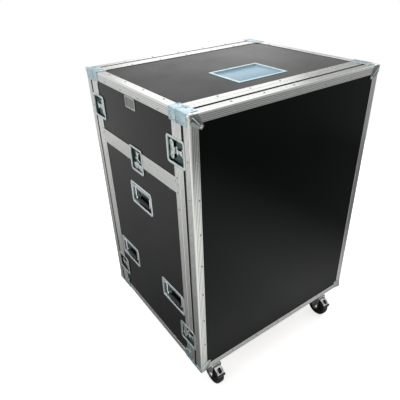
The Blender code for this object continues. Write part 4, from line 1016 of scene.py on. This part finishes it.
springs = [bent_rod([(x, side * (COIL_START + COIL_PITCH * i), z) for i, (x, z) in enumerate(coil)],
                    COIL_WIRE, 1) for side in (-1, 1)]
bail = [(PIN_END, 0)] + arc(BAIL_HALF + BAIL_SHOULDER, -BAIL_SHOULDER, BAIL_SHOULDER, BAIL_SHOULDER,
                            [t + math.pi / 2 for t in QUARTER])
bail += arc(BAIL_HALF - BAIL_BEND, BAIL_BEND - BAIL_DROP, BAIL_BEND, -BAIL_BEND, QUARTER)
bail = bent_rod([(0, y, z) for y, z in bail + [(-y, z) for y, z in reversed(bail)]], BAIL_ROD)
ribbing = [(-GRIP_HALF, BAIL_ROD), (-GRIP_HALF, GRIP_RADIUS - 0.001), (0.001 - GRIP_HALF, GRIP_RADIUS)]
for i in range(GRIP_RIBS):
    middle = GRIP_HALF * (-0.86 + 1.72 * i / (GRIP_RIBS - 1))
    ribbing += [(middle + along, GRIP_RADIUS - down) for along, down in GRIP_RIB]
ribbing += [(GRIP_HALF - 0.001, GRIP_RADIUS), (GRIP_HALF, GRIP_RADIUS - 0.001),
            (GRIP_HALF, BAIL_ROD), (-GRIP_HALF, BAIL_ROD)]
grip = turned(ribbing, 22, Matrix.Translation((0, 0, -BAIL_DROP)) @ Matrix.Diagonal(
    (1.0, 1.0, GRIP_OVAL, 1.0)) @ Matrix.Rotation(math.pi / 2, 4, "Z"))
# The handle pans get painted shade on their floors.
pan_zinc = metal_finish("pan_zinc", (0.54, 0.60, 0.61), (0.76, 0.82, 0.83), (0.20, 0.40), 0.2,
                        (0.50, 0.58, 0.60), recess=((0.014, 0.034, 0.037), 0.0145, 0.0178))
# The sloping back is a lighter copy of the pan's zinc: painted light reflected from above, with painted
# shade lower down in the recess.
lit_slope_zinc = metal_finish("lit_slope_zinc", (0.74, 0.82, 0.85), (0.92, 0.96, 0.97), (0.40, 0.60), 0.5,
                          (0.66, 0.78, 0.83), 700.0, recess=((0.10, 0.16, 0.18), 0.0095, 0.0160))
grip_rubber = moulded_finish("grip_rubber", (0.010, 0.010, 0.010), (0.030, 0.030, 0.029),
                             (0.45, 0.75), 1400.0, 0.3, 0.35)
for side, sign, turn in SIDES:
    for which, y, z in HANDLE_SPOTS:
        name = f"{side}_{which}"
        place = Matrix.Translation((sign * CASE_HALF.x, y, z)) @ turn
        hung = place @ Matrix.Translation((PIVOT[0], 0, PIVOT[1]))
        piece(f"handle_pan_{name}", handle_dish, pan_zinc, "base",
              replaces=[f"handle_dish_{name}"], place=place)
        piece(f"handle_slope_{name}", slope, lit_slope_zinc, "base", place=place)
        piece(f"handle_ears_{name}", gathered((bail_ear, bail_ears), *springs), bright_steel, "base",
              place=place)
        piece(f"handle_rod_{name}", bail, bright_steel, f"handle_{name}", place=hung)
        piece(f"handle_grip_{name}", grip, grip_rubber, f"handle_{name}",
              replaces=[f"handle_bail_{name}"], place=hung)


# Label dish and badge. A shallow zinc dish for a case label is let into the top, lined with a
# blue film; a small plain aluminium plate in a raised frame is riveted to the left side.
LABEL_ALONG, LABEL_HALF, LABEL_FLOOR = -0.129, (0.096, 0.1235), 0.0060
LABEL_ROUND, LABEL_RIM, FILM_IN, FILM_THICK, INNER_ROUND = 0.006, 0.0123, 0.0142, 0.0004, 0.002
BADGE_HALF, BADGE_ROUND, BADGE_HEIGHT, BADGE_THICK = (0.039, 0.023), 0.003, 1.278, 0.0012
BADGE_RIM, BADGE_RIVETS = 0.0055, (0.036, 0.020)
label_place = Matrix.Translation((0, LABEL_ALONG, TOP)) @ Matrix.Rotation(math.pi / 2, 4, "Y")
label_rivets = [(a, b) for a in (-0.0905, 0.0905) for b in (-0.110, -0.037, 0.037, 0.110)]
label_rivets += [(a, b) for a in (-0.045, 0.045) for b in (-0.118, 0.118)]
label_pan = pressed_dish((-LABEL_HALF[0], -LABEL_HALF[1]), LABEL_HALF, LABEL_ROUND, pressed_profile(
    0.0020, RIM_OUT, LABEL_RIM, LABEL_FLOOR, 0.0010, 0.0008))
label_pan = gathered(label_pan, (small_rivet, at_depth(RIM_OUT, label_rivets)))
piece("label_pan", label_pan, blue_zinc, "cover", replaces=["label_dish"], place=label_place)
film = stamped([centred([half - FILM_IN for half in LABEL_HALF], INNER_ROUND)], FILM_THICK, 0.0001)
film.transform(Matrix.Translation((LABEL_FLOOR - 0.0003, 0, 0)))
blue_film = moulded_finish("blue_film", (0.10, 0.245, 0.345), (0.17, 0.345, 0.45), (0.22, 0.40),
                           120.0, 0.05, 0.5)
piece("label_film", film, blue_film, "cover", place=label_place)
badge_place = Matrix.Translation((-CASE_HALF.x + BOARD_INSET - 0.0008, 0, BADGE_HEIGHT))
badge_frame = stamped([centred(BADGE_HALF, BADGE_ROUND),
                       centred([half - BADGE_RIM for half in BADGE_HALF], INNER_ROUND)], 0.0010, 0.0003)
badge_rivets = at_depth(-BADGE_THICK, [(way * BADGE_RIVETS[0], up * BADGE_RIVETS[1])
                                       for way in (-1, 1) for up in (-1, 1)])
badge_rim = gathered((badge_frame, at_depth(-0.0009, [(0, 0)])),
                     (domed_head(0.0014, 0.0007), badge_rivets))
badge_edge = metal_finish("badge_edge", (0.30, 0.305, 0.30), (0.48, 0.485, 0.475), (0.25, 0.45), 0.2)
piece("badge_rim", badge_rim, badge_edge, "cover", place=badge_place)
badge_grey = metal_finish("badge_grey", (0.14, 0.145, 0.145), (0.24, 0.245, 0.245), (0.35, 0.55), 0.3)
piece("badge_plate", stamped([centred(BADGE_HALF, BADGE_ROUND)], BADGE_THICK), badge_grey, "cover",
      place=badge_place)


# Castors. Four swivel castors are bolted through laminated boards under the floor: a zinc top
# plate with a ball race, a pressed fork, and a black rubber tyre on a nylon hub. The front two
# have a bright brake shroud with a black pedal.
CASTOR_X, CASTOR_Y = 0.3575, 0.320
TRAIL, WHEEL_UP = 0.036, 0.055
TOP_PLATE_LOW, TOP_PLATE_THICK, TOP_PLATE_HALF = 0.1524, 0.003, (0.050, 0.0425)
BOLTS_OUT, SLOT_HALF = (0.038, 0.030), (0.0085, 0.0045)
FORK_INNER, FORK_SHEET, FORK_FOOT, FORK_ENDS = 0.022, 0.003, 0.030, (-0.075, 0.045)
CROWN_TOP, HEAD_TOP = 0.128, 0.136
RACE_LOW, RACE_HIGH, RACE_BORE = HEAD_TOP + 0.0003, TOP_PLATE_LOW + 0.0005, 0.008
SHROUD_RADIUS, SHROUD_RIPPLE, SHROUD_HALF, SHROUD_THICK = 0.0605, 0.0007, 0.0185, 0.0022
SHROUD_ARC = [math.radians(t) for t in range(98, 29, -6)]
BOSS_RADIUS, BOSS_ARC = 0.0145, [math.radians(t) for t in range(165, 331, 15)]


def arch(half_wide, top, bend):
    """Outline of a fork bent over the wheel, from its left foot to its right foot."""
    left = [(-half_wide, FORK_FOOT)] + arc(bend - half_wide, top - bend, -bend, bend, QUARTER)
    return left + [(-x, z) for x, z in reversed(left)]


standing = Matrix.Rotation(-math.pi / 2, 4, "Y")
slots = [rounded((a - SLOT_HALF[0], b - SLOT_HALF[1]), (a + SLOT_HALF[0], b + SLOT_HALF[1]), 0.0044, 4)
         for a in (-BOLTS_OUT[0], BOLTS_OUT[0]) for b in (-BOLTS_OUT[1], BOLTS_OUT[1])]
castor_plate = stamped([centred(TOP_PLATE_HALF, 0.008)] + slots, TOP_PLATE_THICK, 0.0007)
castor_plate.transform(Matrix.Translation((0, 0, TOP_PLATE_LOW + TOP_PLATE_THICK / 2)) @ Matrix(
    ((0, -1, 0), (0, 0, 1), (1, 0, 0))).to_4x4())
race = turned([(RACE_LOW, RACE_BORE), (RACE_LOW, 0.0262), (0.1385, 0.0272), (0.1410, 0.0330),
               (0.1440, 0.0345), (0.1475, 0.0345), (0.1500, 0.0330), (RACE_HIGH, 0.0300),
               (RACE_HIGH, RACE_BORE), (RACE_LOW, RACE_BORE)], 40, standing)
bolt = turned([(0.1440, 0), (0.1440, 0.0060), (0.1452, 0.0074), (0.1505, 0.0074),
               (0.1508, 0.0098), (0.1522, 0.0098), (0.1524, 0.0)], 6, standing)
bolts = [Matrix.Translation((x, y, 0)) for x in (-BOLTS_OUT[1], BOLTS_OUT[1])
         for y in (-BOLTS_OUT[0], BOLTS_OUT[0])]
castor_top = gathered(castor_plate, race, (bolt, bolts))
fork_line = arch(FORK_INNER + FORK_SHEET, CROWN_TOP, 0.008)
fork_line += arch(FORK_INNER, CROWN_TOP - FORK_SHEET, 0.005)[::-1]
sleeve = extruded([[Vector((x, y, z)) for x, z in fork_line] for y in FORK_ENDS])
cheek = arc(-TRAIL, WHEEL_UP, BOSS_RADIUS, BOSS_RADIUS, BOSS_ARC)
cheek += [(0.004, 0.074), (0.016, 0.092), (0.0265, 0.104), (0.0300, 0.112), (0.0300, 0.140),
          (-0.0480, 0.140), (-0.0540, 0.126), (-0.0560, 0.110), (-0.0535, 0.080)]
blank = stamped([cheek, ring(-0.006, 0.104, 0.0055, 18)], 0.090, 0.0)
fork = softened(carved(sleeve, blank, "INTERSECT"), 0.0005)
head = turned([(CROWN_TOP - 0.0015, 0), (CROWN_TOP - 0.0015, 0.0315), (CROWN_TOP + 0.0015, 0.0322),
               (HEAD_TOP - 0.0030, 0.0315), (HEAD_TOP - 0.0006, 0.0285), (HEAD_TOP, 0.0265),
               (HEAD_TOP, 0)], 40, standing)
axle = turned([(-0.0330, 0), (-0.0330, 0.0048), (-0.0326, 0.0054), (-0.0318, 0.0104),
               (-0.0262, 0.0104), (-0.0258, 0.0122), (-0.0250, 0.0122), (-0.0250, 0.0058),
               (0.0250, 0.0058), (0.0250, 0.0122), (0.0258, 0.0122), (0.0262, 0.0104),
               (0.0308, 0.0104), (0.0318, 0.0090), (0.0318, 0.0)], 6,
              Matrix.Translation((0, -TRAIL, WHEEL_UP)))
castor_fork = gathered(fork, head, axle)
tread = both_ways([(0.0, 0.0550), (0.0060, 0.0549), (0.0066, 0.0541), (0.0078, 0.0541),
                   (0.0084, 0.0547), (0.0120, 0.0542), (0.0155, 0.0526), (0.0177, 0.0500),
                   (0.0184, 0.0470), (0.0182, 0.0440), (0.0168, 0.0428), (0.0150, 0.0424)])
tyre = turned(tread + [(0.0150, 0.0400), (-0.0150, 0.0400), (-0.0150, 0.0424)], 56)
rim = both_ways([(0.0170, 0.0423), (0.0176, 0.0410), (0.0170, 0.0392), (0.0100, 0.0376),
                 (0.0085, 0.0360), (0.0085, 0.0200), (0.0100, 0.0180), (0.0180, 0.0165),
                 (0.0190, 0.0155), (0.0190, 0.0064)])
rib = block((0.0080, -0.0013, 0.0165), (0.0158, 0.0013, 0.0385), 0.0005, 1)
ribs = [Matrix.Rotation(math.radians(60 * i), 4, "X") @ turn for i in range(6)
        for turn in (Matrix(), HALF_TURN)]
hub = gathered(turned(rim + rim[:1], 48), (rib, ribs))
shroud = bmesh.new()
left, right = [], []
for i, angle in enumerate(SHROUD_ARC):
    radius = SHROUD_RADIUS + SHROUD_RIPPLE * (i % 2)
    y, z = arc(-TRAIL, WHEEL_UP, -radius, radius, [angle])[0]
    left.append(shroud.verts.new((-SHROUD_HALF, y, z)))
    right.append(shroud.verts.new((SHROUD_HALF, y, z)))
for corners in zip(left, left[1:], right[1:], right):
    shroud.faces.new(corners)
shroud = worked(mesh_of(shroud), solidify={"thickness": SHROUD_THICK, "offset": 1.0})
shroud_slot = block((-0.0085, -TRAIL - 0.070, 0.0930), (0.0085, -TRAIL - 0.016, 0.1100), 0.003, 3)
shroud = softened(carved(shroud, shroud_slot), 0.0006)
tip = -TRAIL - (SHROUD_RADIUS + 0.001) * math.cos(SHROUD_ARC[-1])
pedal = block((-0.0200, tip - 0.0075, 0.0790), (0.0200, tip + 0.0030, 0.0905), 0.0030, 3)
castor_zinc = metal_finish("castor_zinc", (0.56, 0.57, 0.57), (0.92, 0.93, 0.93), (0.03, 0.14), 0.1)
tyre_rubber = moulded_finish("tyre_rubber", (0.003, 0.003, 0.003), (0.009, 0.009, 0.009),
                             (0.28, 0.52), 700.0, 0.25, 0.30)
hub_nylon = moulded_finish("hub_nylon", (0.007, 0.007, 0.008), (0.020, 0.020, 0.021),
                           (0.28, 0.50), 300.0, 0.15, 0.40)
black_paint = moulded_finish("black_paint", (0.014, 0.014, 0.014), (0.034, 0.034, 0.033),
                             (0.30, 0.48), 900.0, 0.3, 0.45)
for side, sign, _ in SIDES:
    for (end, way), turn in zip(ENDS, (Matrix(), HALF_TURN)):
        name = f"{side}_{end}"
        place = Matrix.Translation((sign * CASTOR_X, way * CASTOR_Y, 0)) @ turn
        wheel_place = place @ Matrix.Translation((0, -TRAIL, WHEEL_UP))
        piece(f"castor_top_{name}", castor_top, castor_zinc, "base",
              replaces=[f"castor_plate_{name}"], place=place)
        piece(f"castor_yoke_{name}", castor_fork, castor_zinc, f"fork_{name}",
              replaces=[f"castor_fork_{name}"], place=place)
        piece(f"castor_tyre_{name}", tyre, tyre_rubber, f"wheel_{name}",
              replaces=[f"castor_wheel_{name}"], place=wheel_place)
        piece(f"castor_hub_{name}", hub, hub_nylon, f"wheel_{name}",
              place=wheel_place)
        if end == "front":
            piece(f"castor_brake_{name}", shroud, castor_zinc, f"fork_{name}", place=place)
            piece(f"castor_pedal_{name}", pedal, black_paint, f"fork_{name}",
                  place=place)


# Inside. The floor and the desk tray are birch plywood, and two frames of black painted steel
# angle make a rack bay between them; their uprights have square holes for cage nuts.
RACK_FACE, RACK_HOLES, RACK_LOWEST = SEAM - 0.061, 0.23255, 0.2150
RACK_UNITS, RACK_UNIT, UNIT_HOLES, RACK_HOLE = 15, 0.04445, (0.00635, 0.022225, 0.0381), 0.0095
plywood, add = new_finish("birch_plywood")
board = use_group(add, plies, {"Vector": add("TexCoord").outputs["Object"], "Across": 0.0})
surfaced(add, Base_Color=board["Wood"], Specular_IOR_Level=0.35,
         Roughness=ranged(add, board["Height"], 0.42, 0.72),
         Normal=bumped(add, board["Height"], 0.25, 0.0004))
refinish(plywood, "base_floor", "mixer_tray")
for end_name, end in ENDS:
    holes = bmesh.new()
    for side in (-1, 1):
        for level in [RACK_LOWEST + RACK_UNIT * unit + step for unit in range(RACK_UNITS)
                      for step in UNIT_HOLES]:
            middle = (side * RACK_HOLES, end * RACK_FACE, level)
            bmesh.ops.create_cube(holes, size=RACK_HOLE, matrix=Matrix.Translation(middle))
    rails = carved(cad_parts[f"{end_name}_rack_frame"].data, mesh_of(holes))
    piece(f"{end_name}_rack_rails", rails, black_paint, "base",
          replaces=[f"{end_name}_rack_frame"])
